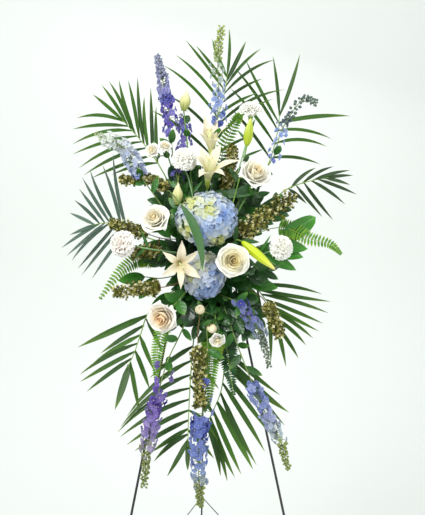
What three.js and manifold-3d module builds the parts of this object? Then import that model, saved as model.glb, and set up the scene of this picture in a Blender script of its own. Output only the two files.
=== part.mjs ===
// Standing funeral spray: fronds, ferns, spikes and blooms in a block of floral foam,
// hung on a folding wire easel. Millimetres, +Z up, the front faces -Y.
import * as THREE from 'three';
import { mergeVertices } from 'three/addons/utils/BufferGeometryUtils.js';
import Module from 'manifold-3d';

const wasm = await Module();
wasm.setup();

// Easel
const APEX_HEIGHT = 1373;
const FRONT_FOOT_X = 290;
const FRONT_FOOT_Y = -240;
const BACK_FOOT_Y = 420;
const LEG_RADIUS = 3.2;
const BACK_LEG_RADIUS = 2.7;
const PIN_RADIUS = 3;
const LEG_TOP_X = 14;
const EYE_WIRE = 2.4;
const SEAT_GAP = 0.3;
const SPREADER_WIRE = 1.4;
const STUD_RADIUS = 1.6;
const STUD_LENGTH = 12;
const SPREADER_FRONT_Z = 235;
const SPREADER_BACK_Z = 388;
const SPREADER_BEHIND_LEG = 11;

// Foam, its tray and the bar that the tray hangs on, measured in the leaning plane of the legs
const FOAM_CENTRE_Z = 1113;
const FOAM_WIDTH = 130;
const FOAM_TOP = 95;
const FOAM_BOTTOM = -115;
const FOAM_BACK = 7;
const FOAM_FRONT = 85;
const TRAY_WALL = 3.2;
const TRAY_BACK = 3.6;
const TRAY_RIM = 15;
const BAR_RADIUS = 3;
const BAR_UP = 112;
const BAR_HALF_LENGTH = 38;
const HOOK_INNER_X = 12;
const HOOK_WIDTH = 12;
const STEM_SIDES = 3;
const HOLE_CLEARANCE = 0.3;
const HOLE_PAST = 20;

// The spray as it is seen from the front
const VIEW_DISTANCE = 2500;
const VIEW_PLANE_Y = -150;
const VIEW_TURN = 0.0436;
const CURL_FORWARD = 60 / (600 * 600);

// The object stands with the middle of its footprint on the origin
const ORIGIN_X = 8.8;
const ORIGIN_Y = 40.5;

const LEAN = Math.atan2(-FRONT_FOOT_Y, APEX_HEIGHT);
const FORWARD = new THREE.Vector3(0, -1, 0);
const UP = new THREE.Vector3(0, 0, 1);
const vec = (x, y, z) => new THREE.Vector3(x, y, z);

// A point of the spray: right, up and forward of the foam's middle as the eye sees it
function seen([right, up, forward]) {
  const y = -Math.tan(LEAN) * (APEX_HEIGHT - FOAM_CENTRE_Z - up) - forward
    - CURL_FORWARD * (right * right + up * up);
  const scale = (y - VIEW_PLANE_Y + VIEW_DISTANCE) / VIEW_DISTANCE;
  return vec(right * scale + (y - VIEW_PLANE_Y) * VIEW_TURN, y, FOAM_CENTRE_Z + up * scale);
}

// Closed geometry to a solid, and back
function solid(geometry) {
  geometry.deleteAttribute('normal');
  geometry.deleteAttribute('uv');
  const merged = mergeVertices(geometry, 1e-3);
  const corners = [];
  for (let i = 0; i < merged.index.count; i += 3) {
    const [a, b, c] = merged.index.array.slice(i, i + 3);
    if (a !== b && b !== c && c !== a) corners.push(a, b, c);
  }
  return new wasm.Manifold(new wasm.Mesh({
    numProp: 3,
    vertProperties: new Float32Array(merged.attributes.position.array),
    triVerts: new Uint32Array(corners),
  }));
}

function geometryOf(body) {
  const mesh = body.getMesh();
  const geometry = new THREE.BufferGeometry();
  geometry.setAttribute('position', new THREE.BufferAttribute(mesh.vertProperties, 3));
  geometry.setIndex(new THREE.BufferAttribute(mesh.triVerts, 1));
  geometry.computeVertexNormals();
  return geometry;
}

// Solids joined into one body; sealed hollows, loose scraps and slivers are left out
const SLIVER = 0.02;

function fuse(solids) {
  let layer = solids;
  while (layer.length > 1) {
    const next = [];
    for (let i = 0; i < layer.length; i += 2) {
      next.push(i + 1 < layer.length ? layer[i].add(layer[i + 1]) : layer[i]);
    }
    layer = next;
  }
  const bodies = layer[0].decompose();
  bodies.sort((a, b) => b.volume() - a.volume());
  return bodies[0].simplify(SLIVER);
}

function smooth(points) {
  return new THREE.CatmullRomCurve3(points, false, 'centripetal');
}

// A round or flat section drawn along a curve; wide and thick are half sizes along it
function sweep(curve, { wide, thick = wide, sides = 4, steps = 3, pointed = false, face = FORWARD,
  pace = (t) => t }) {
  const shell = new THREE.CylinderGeometry(pointed ? 0 : 1, 1, 1, sides, steps);
  const place = shell.attributes.position;
  for (let i = 0; i < place.count; i++) {
    const t = Math.min(1, Math.max(0, place.getY(i) + 0.5));
    const x = place.getX(i);
    const z = place.getZ(i);
    const reach = Math.hypot(x, z) || 1;
    const along = curve.getTangent(pace(t));
    const across = along.clone().cross(face).normalize();
    const out = across.clone().cross(along);
    const point = curve.getPoint(pace(t))
      .addScaledVector(across, x / reach * wide(t))
      .addScaledVector(out, z / reach * thick(t));
    place.setXYZ(i, point.x, point.y, point.z);
  }
  return solid(shell);
}

const even = (size) => () => size;
const taper = (from, to) => (t) => from + (to - from) * t;

// A straight round bar between two points
function rod(from, to, radius, sides = 10) {
  const bar = new THREE.CylinderGeometry(radius, radius, from.distanceTo(to), sides);
  const turn = new THREE.Quaternion().setFromUnitVectors(vec(0, 1, 0), to.clone().sub(from).normalize());
  bar.applyQuaternion(turn);
  bar.translate(...from.clone().add(to).multiplyScalar(0.5).toArray());
  return solid(bar);
}

function box(low, high) {
  const block = new THREE.BoxGeometry(high[0] - low[0], high[1] - low[1], high[2] - low[2]);
  block.translate((low[0] + high[0]) / 2, (low[1] + high[1]) / 2, (low[2] + high[2]) / 2);
  return block;
}

// The leaning plane of the front legs: right, up along the plane, forward of it
function leaning(right, up, forward) {
  const middleY = -Math.tan(LEAN) * (APEX_HEIGHT - FOAM_CENTRE_Z);
  return vec(right, middleY + up * Math.sin(LEAN) - forward * Math.cos(LEAN),
    FOAM_CENTRE_Z + up * Math.cos(LEAN) + forward * Math.sin(LEAN));
}

function leaningBox(low, high) {
  const block = box([low[0], -high[2], low[1]], [high[0], -low[2], high[1]]);
  const middle = leaning(0, 0, 0);
  block.rotateX(-LEAN);
  block.translate(0, middle.y, middle.z);
  return solid(block);
}

function ring(centre, radius, wire) {
  const loop = new THREE.TorusGeometry(radius, wire, 5, 10);
  loop.rotateY(Math.PI / 2);
  loop.translate(centre.x, centre.y, centre.z);
  return solid(loop);
}

// Every piece: its name, its finish, what it always has, and its repeats, each a function that
// makes the repeat with its free end bent forward by so many mm
const pieces = [];
const stems = [];
function piece(name, finish, solids, repeats = []) {
  pieces.push({ name, finish, solids, repeats, kept: [...solids] });
}

// A stalk through its points, with the place and direction of any point along it
function stalk(places, radius, tip = radius, steps = 4) {
  const curve = smooth(places);
  const first = 1 / (places.length - 1);
  const pace = (t) => t * steps < 1 ? t * steps * first : first + (1 - first) * (t * steps - 1) / (steps - 1);
  const knots = Array.from({ length: steps + 1 }, (_, i) => curve.getPoint(pace(i / steps)));
  const step = (t) => Math.min(steps - 1, Math.floor(t * steps));
  return {
    body: sweep(curve, { wide: taper(radius, tip), sides: STEM_SIDES, steps, pace }),
    at: (t) => knots[step(t)].clone().lerp(knots[step(t) + 1], t * steps - step(t)),
    along: (t) => knots[step(t) + 1].clone().sub(knots[step(t)]).normalize(),
  };
}

function stem(points, radius, tip = radius, steps = 4) {
  const places = points.map(seen);
  stems.push({ places, radius });
  return stalk(places, radius, tip, steps);
}

// A side stalk that grows from a stem at t and ends at a point
function branch(main, t, points, radius) {
  return stalk([main.at(t), ...points.map(seen)], radius, radius, 3);
}

function holeFor({ places, radius }) {
  const out = places[1].clone().sub(places[0]).normalize();
  const line = new THREE.LineCurve3(places[0].clone().addScaledVector(out, -HOLE_CLEARANCE),
    places[1].clone().addScaledVector(out, HOLE_PAST));
  return sweep(line, { wide: even(radius + 2 * HOLE_CLEARANCE), sides: STEM_SIDES, steps: 1 });
}

// Front leg of the easel, cut flat on the floor, with the stud that carries the spreader
function legPoint(side, height) {
  const t = (APEX_HEIGHT - height) / APEX_HEIGHT;
  return vec(side * (LEG_TOP_X + (FRONT_FOOT_X - LEG_TOP_X) * t), FRONT_FOOT_Y * t, height);
}

function cutAtFloor(body) {
  return body.subtract(solid(box([-500, -500, -100], [500, 600, 0])));
}

function frontLeg(side) {
  const wire = rod(legPoint(side, -20), legPoint(side, APEX_HEIGHT + 4), LEG_RADIUS);
  const seat = legPoint(side, SPREADER_FRONT_Z);
  const stud = rod(seat, seat.clone().setX(seat.x - side * STUD_LENGTH), STUD_RADIUS);
  return cutAtFloor(wire.add(stud));
}

function hingePin() {
  const end = -LEG_TOP_X + LEG_RADIUS + 1 + SEAT_GAP;
  return rod(vec(LEG_TOP_X, 0, APEX_HEIGHT), vec(end, 0, APEX_HEIGHT), PIN_RADIUS);
}

// Back leg, hung on the pin by an eye bent in its wire
function backLeg() {
  const apex = vec(0, 0, APEX_HEIGHT);
  const down = vec(0, BACK_FOOT_Y, -APEX_HEIGHT).normalize();
  const eyeRadius = PIN_RADIUS + EYE_WIRE + 0.5;
  const wire = rod(apex.clone().addScaledVector(down, eyeRadius), apex.clone().addScaledVector(down, 1460),
    BACK_LEG_RADIUS);
  return cutAtFloor(wire.add(ring(apex, eyeRadius, EYE_WIRE)));
}

// Half of the spreader: an eye on the leg's stud, then a wire that passes behind the back leg
function spreader(side) {
  const stud = legPoint(side, SPREADER_FRONT_Z);
  const eye = stud.clone().setX(stud.x - side * 8);
  const backY = BACK_FOOT_Y * (APEX_HEIGHT - SPREADER_BACK_Z) / APEX_HEIGHT + SPREADER_BEHIND_LEG;
  const vertex = vec(0, backY, SPREADER_BACK_Z);
  const eyeRadius = STUD_RADIUS + SPREADER_WIRE + 0.4;
  const back = vec(0, vertex.y - eye.y, vertex.z - eye.z).normalize();
  const start = eye.clone().addScaledVector(back, eyeRadius);
  const past = vertex.clone().addScaledVector(vertex.clone().sub(start).normalize(), 8);
  const half = rod(start, past, SPREADER_WIRE, 8).add(ring(eye, eyeRadius, SPREADER_WIRE));
  const middle = side * SEAT_GAP / 2;
  const otherHalf = side > 0 ? box([-50, 0, 0], [middle, 600, 600]) : box([middle, 0, 0], [50, 600, 600]);
  return half.subtract(solid(otherHalf));
}

// Tray of the foam, with two hooks over the bar
function tray() {
  const outX = FOAM_WIDTH / 2 + SEAT_GAP + TRAY_WALL;
  const inX = FOAM_WIDTH / 2 + SEAT_GAP;
  const top = FOAM_TOP + SEAT_GAP + TRAY_WALL;
  const bottom = FOAM_BOTTOM - SEAT_GAP - TRAY_WALL;
  const room = leaningBox([-inX, FOAM_BOTTOM - SEAT_GAP, FOAM_BACK - SEAT_GAP],
    [inX, FOAM_TOP + SEAT_GAP, TRAY_RIM + 20]);
  const shell = leaningBox([-outX, bottom, TRAY_BACK], [outX, top, TRAY_RIM]).subtract(room);
  const overBar = BAR_UP + BAR_RADIUS + SEAT_GAP;
  const inFront = LEG_RADIUS + 2 * BAR_RADIUS + 2 * SEAT_GAP;
  const hooks = [-HOOK_INNER_X - HOOK_WIDTH, HOOK_INNER_X].flatMap((x) => [
    leaningBox([x, top - 2, inFront], [x + HOOK_WIDTH, overBar + 3, inFront + 3]),
    leaningBox([x, overBar, 0.2], [x + HOOK_WIDTH, overBar + 3, inFront + 1]),
    leaningBox([x, BAR_UP - 4, 0.2], [x + HOOK_WIDTH, overBar + 1, 3.2]),
  ]);
  return fuse([shell, ...hooks]);
}

function bar() {
  const forward = LEG_RADIUS + BAR_RADIUS + SEAT_GAP;
  const end = (side) => leaning(side * BAR_HALF_LENGTH, BAR_UP, forward);
  return rod(end(-1), end(1), BAR_RADIUS);
}

// Colours of the plants
const PALM = 0x4f8a1c;
const PALM_DARK = 0x3a5a28;
const PALM_GREY = 0x6b8a78;
const FERN = 0x3f8f1c;
const FERN_DARK = 0x174f2c;
const SALAL = 0x2c7a1e;
const GOLD = 0xb0a050;
const BLUE = 0x7f9fe0;
const VIOLET = 0x6a4fc0;
const DEEP_BLUE = 0x3c52c0;
const CREAM = 0xf8f5e8;
const BLUSH = 0xf8ece4;
const LILY = 0xf5eedb;
const BUD_GREEN = 0x9db51e;
const BUD_YELLOW = 0xe0e23a;
const HYDRANGEA = 0xb4cbea;
const HYDRANGEA_GREY = 0xb9c6dc;

// Flat outlines, given right and up, joined into one blade of even thickness, waved in its layer
const BLADE = 1.4;
const OUTLINE_SLIVER = 0.05;
const wave = (right, up) => BLADE / 2 + 3 * Math.sin(right / 25 + up / 40);

function blade(outlines, layer) {
  const loops = outlines.map((corners) => corners.map(({ x, y }) => [x, y]));
  const plates = loops.map((loop) => new wasm.CrossSection([loop], 'NonZero'));
  const plans = wasm.CrossSection.union(plates).simplify(OUTLINE_SLIVER).decompose();
  plans.sort((a, b) => b.area() - a.area());
  const flat = geometryOf(plans[0].extrude(BLADE));
  const place = flat.attributes.position;
  for (let i = 0; i < place.count; i++) {
    const x = place.getX(i);
    const y = place.getY(i);
    const point = seen([x, y, layer + wave(x, y) + place.getZ(i) - BLADE / 2]);
    place.setXYZ(i, point.x, point.y, point.z);
  }
  return solid(flat);
}

// A stem from the foam to a little past the start of a rib
function ribStem(foot, rib, layer, radius) {
  const start = vec(...rib[0], 0);
  const heel = vec(...rib[1], 0).sub(start).setLength(9).add(start);
  const ends = [start, heel].map(({ x, y }) => [x, y, layer + wave(x, y)]);
  return stem([...foot, ...ends], radius, 1.5).body;
}

// Palm frond: long leaflets from both sides of a rib to their tips, each full at one edge
function frond(name, colour, layer, foot, rib, sides, half, bow) {
  const curve = smooth(rib.map(([right, up]) => vec(right, up, 0)));
  const band = [0, 0.33, 0.67, 1].map((t) => {
    const along = curve.getTangent(t);
    const beside = vec(-along.y, along.x, 0).multiplyScalar(1.6);
    return [curve.getPoint(t).add(beside), curve.getPoint(t).sub(beside)];
  });
  const leaflets = sides.flatMap((tips) => tips.map(([right, up, broad = 1], i) => {
    const t = (i + 0.5) / tips.length;
    const root = curve.getPoint(t);
    const tip = vec(right, up, 0);
    const flow = tip.clone().sub(root);
    const across = vec(-flow.y, flow.x, 0).setLength(flow.x < 0 ? -1 : 1);
    const belly = root.clone().addScaledVector(flow, 0.45).addScaledVector(across, half * broad);
    belly.y += Math.abs(flow.x) * bow;
    const along = curve.getTangent(t);
    const ahead = along.dot(across) < 0 ? -1 : 1;
    const heel = along.multiplyScalar(ahead).addScaledVector(across, 0.3).setLength(3);
    return [root.clone().add(heel), belly, tip, root.clone().sub(heel)];
  }));
  const edge = [...band.map(([left]) => left), ...band.map(([, right]) => right).reverse()];
  const spine = ribStem(foot.map(([right, up]) => [right, up, layer + BLADE / 2]), rib, layer, 2.6);
  piece(name, { colour, roughness: 0.5 }, [spine, blade([edge, ...leaflets], layer)]);
}

// Fern frond: pairs of short leaflets in a chain along the rib, longest near the foot
const FERN_PAIRS = 7;

function fern(name, colour, layer, foot, rib, reach) {
  const curve = smooth(rib.map(([right, up]) => vec(right, up, 0)));
  const chain = Array.from({ length: FERN_PAIRS }, (_, i) => {
    const t = (i + 0.5) / FERN_PAIRS;
    const middle = curve.getPointAt(t);
    const along = curve.getTangentAt(t);
    const beside = vec(-along.y, along.x, 0).multiplyScalar(reach * (1 - t ** 1.6) + 5);
    const ahead = along.clone().multiplyScalar(curve.getLength() / FERN_PAIRS * 0.6);
    const lean = along.clone().multiplyScalar(beside.length() * 0.3);
    return [middle.clone().add(ahead), middle.clone().add(lean).add(beside), middle.clone().sub(ahead),
      middle.clone().add(lean).sub(beside)];
  });
  piece(name, { colour, roughness: 0.6 }, [ribStem(foot, rib, layer, 1.8), blade(chain, layer)]);
}

// Broad leaf from its root to its tip, arched forward in the middle
function leaf(root, [right, up, forward], halfWide, arch = 10) {
  return (bend) => {
    const end = seen([right, up, forward + bend]);
    const middle = root.clone().lerp(end, 0.5).addScaledVector(FORWARD, arch);
    const width = (t) => 1.5 + halfWide * Math.sin(Math.PI * t ** 0.85);
    return sweep(new THREE.QuadraticBezierCurve3(root, middle, end),
      { wide: width, thick: even(0.8), steps: 3, pointed: true });
  };
}

// Leafy stem: its stalks and its leaves, each [stalk, place along it, tip, half width]
function leafyStem(name, colour, stalks, leaves) {
  const repeats = leaves.map(([on, t, tip, halfWide, arch]) => leaf(on.at(t), tip, halfWide, arch));
  piece(name, { colour, roughness: 0.35 }, stalks.map((one) => one.body), repeats);
}

// Two directions square to an axis
function squareTo(axis) {
  const first = axis.clone().cross(Math.abs(axis.z) > 0.9 ? vec(1, 0, 0) : UP).normalize();
  return [first, axis.clone().cross(first)];
}

function around(axis, angle) {
  const [first, second] = squareTo(axis);
  return first.multiplyScalar(Math.cos(angle)).addScaledVector(second, Math.sin(angle));
}

// A lobed cone: one floret, from its root to its open face
function floret(root, axis, depth, radius, lobes, dish) {
  const cone = new THREE.CylinderGeometry(1, 0, 1, 2 * lobes, 1);
  const place = cone.attributes.position;
  const [first, second] = squareTo(axis);
  for (let i = 0; i < place.count; i++) {
    const x = place.getX(i);
    const z = place.getZ(i);
    const reach = Math.hypot(x, z);
    const lobe = Math.round(Math.atan2(x, z) / Math.PI * lobes) % 2 === 0 ? 1 : 0.62;
    const height = (place.getY(i) + 0.5) * depth - (place.getY(i) > 0 && reach < 0.1 ? dish * depth : 0);
    const point = root.clone().addScaledVector(axis, height)
      .addScaledVector(first, -x * lobe * radius)
      .addScaledVector(second, z * lobe * radius);
    place.setXYZ(i, point.x, point.y, point.z);
  }
  return solid(cone);
}

// A pointed bud from its root along its axis
function bud(root, axis, length, radius) {
  const spindle = new THREE.OctahedronGeometry(1);
  spindle.scale(radius, length / 2, radius);
  spindle.applyQuaternion(new THREE.Quaternion().setFromUnitVectors(vec(0, 1, 0), axis));
  const middle = root.clone().addScaledVector(axis, length / 2);
  spindle.translate(middle.x, middle.y, middle.z);
  return solid(spindle);
}

const GOLDEN_ANGLE = Math.PI * (3 - Math.sqrt(5));

// Repeats set round a stalk in a spiral; make builds one at a root and an axis
function spiral(on, from, to, count, rise, make) {
  return Array.from({ length: count }, (_, i) => {
    const t = from + (to - from) * (i + 0.5) / count;
    const along = on.along(t);
    const axis = around(along, i * GOLDEN_ANGLE).addScaledVector(along, rise).normalize();
    const root = on.at(t).addScaledVector(axis, -1.5);
    return () => make(root, axis);
  });
}

// A plume along a stalk from a place on: every other corner is drawn out into a small floret
const PLUME_SIDES = 6;

function plume(on, from, rows, reach) {
  const shell = new THREE.CylinderGeometry(0, 1, 1, PLUME_SIDES, rows);
  const place = shell.attributes.position;
  for (let i = 0; i < place.count; i++) {
    const row = Math.round((place.getY(i) + 0.5) * rows);
    const x = place.getX(i);
    const z = place.getZ(i);
    const corner = Math.round(Math.atan2(x, z) / (2 * Math.PI) * PLUME_SIDES);
    const length = Math.hypot(x, z) || 1;
    const raised = (row + corner) % 2 === 0 && row > 0 && row < rows;
    const t = from + (1 - from) * row / rows;
    const along = on.along(t);
    const across = along.clone().cross(FORWARD).normalize();
    const out = across.clone().cross(along);
    const width = reach(row / rows) * (raised ? 1 : 0.42);
    const point = on.at(t)
      .addScaledVector(across, x / length * width)
      .addScaledVector(out, z / length * width)
      .addScaledVector(along, raised ? 2 : -2);
    place.setXYZ(i, point.x, point.y, point.z);
  }
  return solid(shell);
}

// Delphinium: open florets along the lower part of each spike, then a plume of closing buds
function delphinium(name, colour, stalks, spikes) {
  const plumes = spikes.map(({ on, buds, rows = 6, size = 14 }) =>
    plume(on, buds, rows, (t) => size * (0.85 - 0.45 * t)));
  const repeats = spikes.flatMap(({ on, from, buds, florets, size = 14 }) =>
    spiral(on, from, buds, florets, 0.35,
      (root, axis) => floret(root, axis, size * 1.4, size * 1.1, 3, 0.3)));
  piece(name, { colour, roughness: 0.7 }, [...stalks.map((one) => one.body), ...plumes], repeats);
}

// Filler spikes: plumes of small pointed florets
function filler(name, stalks, spikes) {
  const plumes = spikes.map(({ on, from, reach }) => plume(on, from, 8, (t) => reach * (1 - 0.5 * t ** 3)));
  piece(name, { colour: GOLD, roughness: 0.8 }, [...stalks.map((one) => one.body), ...plumes]);
}

const facing = ([right, up, forward]) => vec(right, -forward, up).normalize();

// A bloom turned round its axis: rows of [radius, height, swing of radius, swing of height] from foot
// to heart. Petals swing out and in round each lip, and each lip is turned against the last
const ROSE = [
  [0, -0.8], [0.86, -0.35, 0.05], [1.1, 0.04, 0.09, 0.07], [0.84, 0, 0.04], [0.76, 0.28, 0.1, 0.06],
  [0.56, 0.12], [0.48, 0.4, 0.12, 0.05], [0.3, 0.22], [0.22, 0.42, 0.15, 0.04], [0, 0.3],
];
const SMALL_ROSE = [
  [0, -0.8], [0.55, -0.6], [1.05, 0.05, 0.08, 0.08], [0.7, 0.05],
  [0.58, 0.4, 0.12, 0.05], [0.25, 0.2], [0, 0.4],
];
const CARNATION = [
  [0, -1.3], [0.14, -1.25], [0.28, -0.55], [0.75, -0.25], [1, 0, 0.09, 0.12],
  [0.66, 0.05], [0.82, 0.3, 0.1, 0.1], [0.45, 0.22], [0.5, 0.5, 0.14, 0.08], [0, 0.36],
];

function bloom(place, direction, radius, rows, sides) {
  const centre = seen(place);
  const axis = facing(direction);
  const [first, second] = squareTo(axis);
  const turned = new THREE.LatheGeometry(rows.map(([r, h]) => new THREE.Vector2(r, h)), sides);
  const corners = turned.attributes.position;
  for (let i = 0; i < corners.count; i++) {
    const row = i % rows.length;
    const side = Math.floor(i / rows.length) % sides;
    const [r, h, swing = 0, lift = 0] = rows[row];
    const raised = (side + Math.floor(row / 2)) % 2 === 0 ? 1 : -1;
    const angle = side / sides * 2 * Math.PI;
    const reach = radius * r * (1 + swing * raised);
    const point = centre.clone()
      .addScaledVector(axis, radius * (h + lift * raised))
      .addScaledVector(first, reach * Math.cos(angle))
      .addScaledVector(second, reach * Math.sin(angle));
    corners.setXYZ(i, point.x, point.y, point.z);
  }
  return solid(turned);
}

// The place behind a bloom by so many mm, where its stem ends
function backOf([right, up, forward], direction, distance) {
  const axis = facing(direction);
  return [right - axis.x * distance, up - axis.z * distance, forward + axis.y * distance];
}

function rose(name, points, place, direction, radius) {
  const main = stem([...points, backOf(place, direction, radius * 0.7)], 2.6);
  piece(name, { colour: CREAM, roughness: 0.55 }, [main.body, bloom(place, direction, radius, ROSE, 10)]);
}

// Carnation: ruffled layers over a tubular calyx
function carnation(name, colour, points, place, direction, radius) {
  const main = stem([...points, backOf(place, direction, radius * 1.2)], 2);
  piece(name, { colour, roughness: 0.8 }, [main.body, bloom(place, direction, radius, CARNATION, 10)]);
}

// Spray rose: small blooms and closed buds on branching stalks
function sprayRose(name, stalks, blooms, buds) {
  const heads = blooms.map(([place, direction, radius]) => bloom(place, direction, radius, SMALL_ROSE, 8));
  const closed = buds.map(([from, to, radius]) => spindle(from, to, radius));
  piece(name, { colour: CREAM, roughness: 0.55 }, [...stalks.map((one) => one.body), ...heads, ...closed]);
}

// Closed rosebud over a round calyx
function rosebud(name, points, from, to, radius) {
  const calyx = new THREE.SphereGeometry(radius * 0.7, 6, 4);
  calyx.scale(1, 1, 0.86);
  calyx.translate(...seen(from).toArray());
  const petals = spindle(from, to, radius);
  piece(name, { colour: CREAM, roughness: 0.55 }, [stem(points, 2).body, solid(calyx), petals]);
}

// Lily: six tepals from a narrow cup through the throat to their tips, round three stamens
function lilyHead(base, throat, tips, halfWide) {
  const foot = seen(base);
  const mouth = seen(throat);
  const axis = mouth.clone().sub(foot).normalize();
  const tepals = tips.map((place) => {
    const tip = seen(place);
    const out = tip.clone().sub(mouth);
    out.addScaledVector(axis, -out.dot(axis)).normalize();
    const start = foot.clone().lerp(mouth, 0.45).addScaledVector(out, 3);
    const near = mouth.clone().addScaledVector(out, halfWide * 1.25);
    const curve = new THREE.QuadraticBezierCurve3(start, near, tip);
    const wide = (t) => halfWide * (0.2 + 0.9 * t);
    return sweep(curve, { wide, thick: even(1.1), steps: 3, pointed: true, face: axis.clone().sub(out) });
  });
  const stamens = [0, 1, 2].map((i) => {
    const end = mouth.clone().addScaledVector(axis, 20).addScaledVector(around(axis, i * 2.1), 9);
    return sweep(new THREE.LineCurve3(foot.clone().lerp(mouth, 0.4), end), { wide: even(1.4), steps: 1 });
  });
  const cup = sweep(new THREE.LineCurve3(foot, foot.clone().lerp(mouth, 0.7)),
    { wide: taper(4.5, halfWide * 0.7), sides: 6, steps: 1 });
  return [cup, ...tepals, ...stamens];
}

function spindle(from, to, radius) {
  const curve = new THREE.LineCurve3(seen(from), seen(to));
  const wide = (t) => 2 + (radius - 2) * Math.sin(Math.PI * t ** 0.8);
  return sweep(curve, { wide, sides: 6, steps: 4, pointed: true });
}

// Hydrangea: four-lobed florets over a smaller core with raised florets of its own
const CORE_SIDES = 10;
const CORE_RINGS = 7;

function hydrangea(name, colour, points, place, radii, count) {
  const centre = seen(place);
  const core = new THREE.SphereGeometry(1, CORE_SIDES, CORE_RINGS);
  const corners = core.attributes.position;
  for (let i = 0; i < corners.count; i++) {
    const ring = Math.floor(i / (CORE_SIDES + 1));
    const raised = ring % CORE_RINGS > 0 && (i % (CORE_SIDES + 1) + ring) % 2 === 0 ? 0.92 : 0.78;
    corners.setXYZ(i, corners.getX(i) * radii[0] * raised, corners.getY(i) * radii[1] * raised,
      corners.getZ(i) * radii[2] * raised);
  }
  core.translate(centre.x, centre.y, centre.z);
  const florets = Array.from({ length: count }, (_, i) => {
    const forward = 1 - 1.25 * (i + 0.5) / count;
    const round = Math.sqrt(1 - forward * forward);
    const turn = i * GOLDEN_ANGLE;
    const axis = vec(round * Math.cos(turn), -forward, round * Math.sin(turn)).normalize();
    const reach = vec(axis.x * radii[0], axis.y * radii[1], axis.z * radii[2]);
    const root = centre.clone().addScaledVector(reach, 0.62);
    return () => floret(root, axis, reach.length() * 0.38, 19, 4, 0.25);
  });
  piece(name, { colour, roughness: 0.8 }, [stem(points, 3).body, solid(core)], florets);
}

// The palms, each in its own layer, so that neighbours pass behind each other
frond('palm_upper_left', PALM, 22, [[-38, 70], [-48, 97]],
  [[-124, 247], [-160, 299], [-194, 338], [-222, 369]], [
    [[-134, 406], [-148, 452], [-165, 429], [-182, 478], [-207, 473], [-230, 471], [-256, 468], [-275, 458],
      [-298, 434]],
    [[-250, 225], [-303, 216], [-321, 224], [-334, 242], [-350, 278], [-350, 304], [-350, 343], [-339, 372]],
  ], 6.6, 0.12);
frond('palm_left', PALM_GREY, 36, [[-40, 25], [-67, 35]], [[-201, 78], [-253, 101], [-300, 96]], [
  [[-245, 280], [-272, 250], [-305, 238], [-325, 220], [-333, 190], [-345, 160], [-357, 127]],
  [[-300, -44], [-326, -34], [-337, -18], [-352, 3], [-365, 16], [-378, 36], [-357, 70]],
], 5.4, 0.05);
frond('palm_lower_left', PALM, 22, [[-42, -45], [-67, -60]],
  [[-150, -125], [-173, -185], [-190, -235], [-207, -273]], [
    [[-337, -221, 1.5], [-277, -236], [-295, -260], [-331, -291], [-329, -309], [-313, -335],
      [-240, -382, 1.6]],
    [[-118, -235], [-139, -281], [-150, -330], [-176, -390]],
  ], 6.6, 0.05);
frond('palm_bottom_left', PALM, 36, [[-20, -90], [-24, -117]],
  [[-36, -200], [-46, -333], [-50, -430], [-51, -480]], [
    [[-150, -300], [-209, -400], [-225, -426], [-232, -440], [-228, -454], [-209, -473], [-189, -489],
      [-147, -494], [-139, -517], [-105, -556], [-51, -541]],
    [[30, -330], [24, -410], [27, -463], [17, -510], [-14, -541]],
  ], 6.6, 0.12);
frond('palm_bottom_right', PALM, 22, [[12, -90], [16, -117]],
  [[44, -215], [44, -270], [34, -340], [8, -400], [-4, -425]], [
    [[191, -348], [214, -393, 1.6], [202, -426], [165, -450], [150, -494], [128, -528], [119, -540, 1.4],
      [88, -552], [71, -560], [52, -570], [34, -556]],
  ], 7.5, 0);
frond('palm_right_lower', PALM, 36, [[42, -20], [67, -32]],
  [[118, -55], [142, -86], [170, -125], [183, -177]], [
    [[300, -84], [321, -103], [316, -133], [303, -161], [292, -181], [277, -200], [258, -218], [238, -252]],
    [[140, -235], [165, -262], [205, -272]],
  ], 7.2, 0.03);
frond('palm_right', PALM_DARK, 50, [[42, 50], [67, 60]], [[202, 187], [262, 210], [316, 221]], [
  [[282, 246], [330, 250], [373, 240], [381, 227]],
  [[259, 152], [300, 118], [329, 109], [360, 151], [391, 177], [373, 202]],
], 3.9, 0.02);
frond('palm_right_upper', PALM, 22, [[35, 70], [45, 97], [130, 215]], [[157, 252], [183, 343], [188, 390]], [
  [[295, 255], [311, 302], [324, 322], [373, 382, 1.4], [241, 543, 1.2]],
  [[60, 400], [56, 455], [69, 507], [98, 528], [170, 538]],
], 6.6, 0.04);
frond('palm_top', PALM, 36, [[3, 70], [5, 97]], [[8, 250], [25, 369], [46, 450], [51, 489]], [
  [[-147, 393], [-103, 432], [-118, 512], [-84, 538], [-58, 577], [-30, 562], [12, 580, 1.4]],
  [[120, 330], [173, 426], [202, 450], [129, 440], [144, 478], [176, 528], [139, 556], [100, 575, 1.4],
    [56, 608]],
], 6, 0.04);

// Ferns
fern('fern_left', FERN, 72, [[-40, 0, 66], [-67, -2, 68]],
  [[-140, 10], [-175, 10], [-227, -26], [-279, -96]], 24);
fern('fern_right', FERN, 72, [[40, 30, 66], [67, 38, 68], [130, 75, 71]],
  [[185, 90], [220, 84], [264, 62], [321, 47], [350, 21]], 22);
fern('fern_bottom', FERN, 86, [[0, -85, 66], [4, -117, 72]], [[14, -178], [12, -240], [4, -372]], 26);
fern('fern_bottom_right', FERN_DARK, 64, [[28, -85, 58], [32, -117, 60]],
  [[43, -180], [52, -240], [69, -346]], 26);
fern('fern_lower_left', FERN, 72, [[-44, -85, 60], [-62, -117, 62]],
  [[-115, -170], [-131, -240], [-134, -307]], 18);
fern('fern_top', FERN, 72, [[18, 68, 66], [20, 97, 68]], [[30, 200], [40, 289], [74, 367], [90, 390]], 22);

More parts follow.
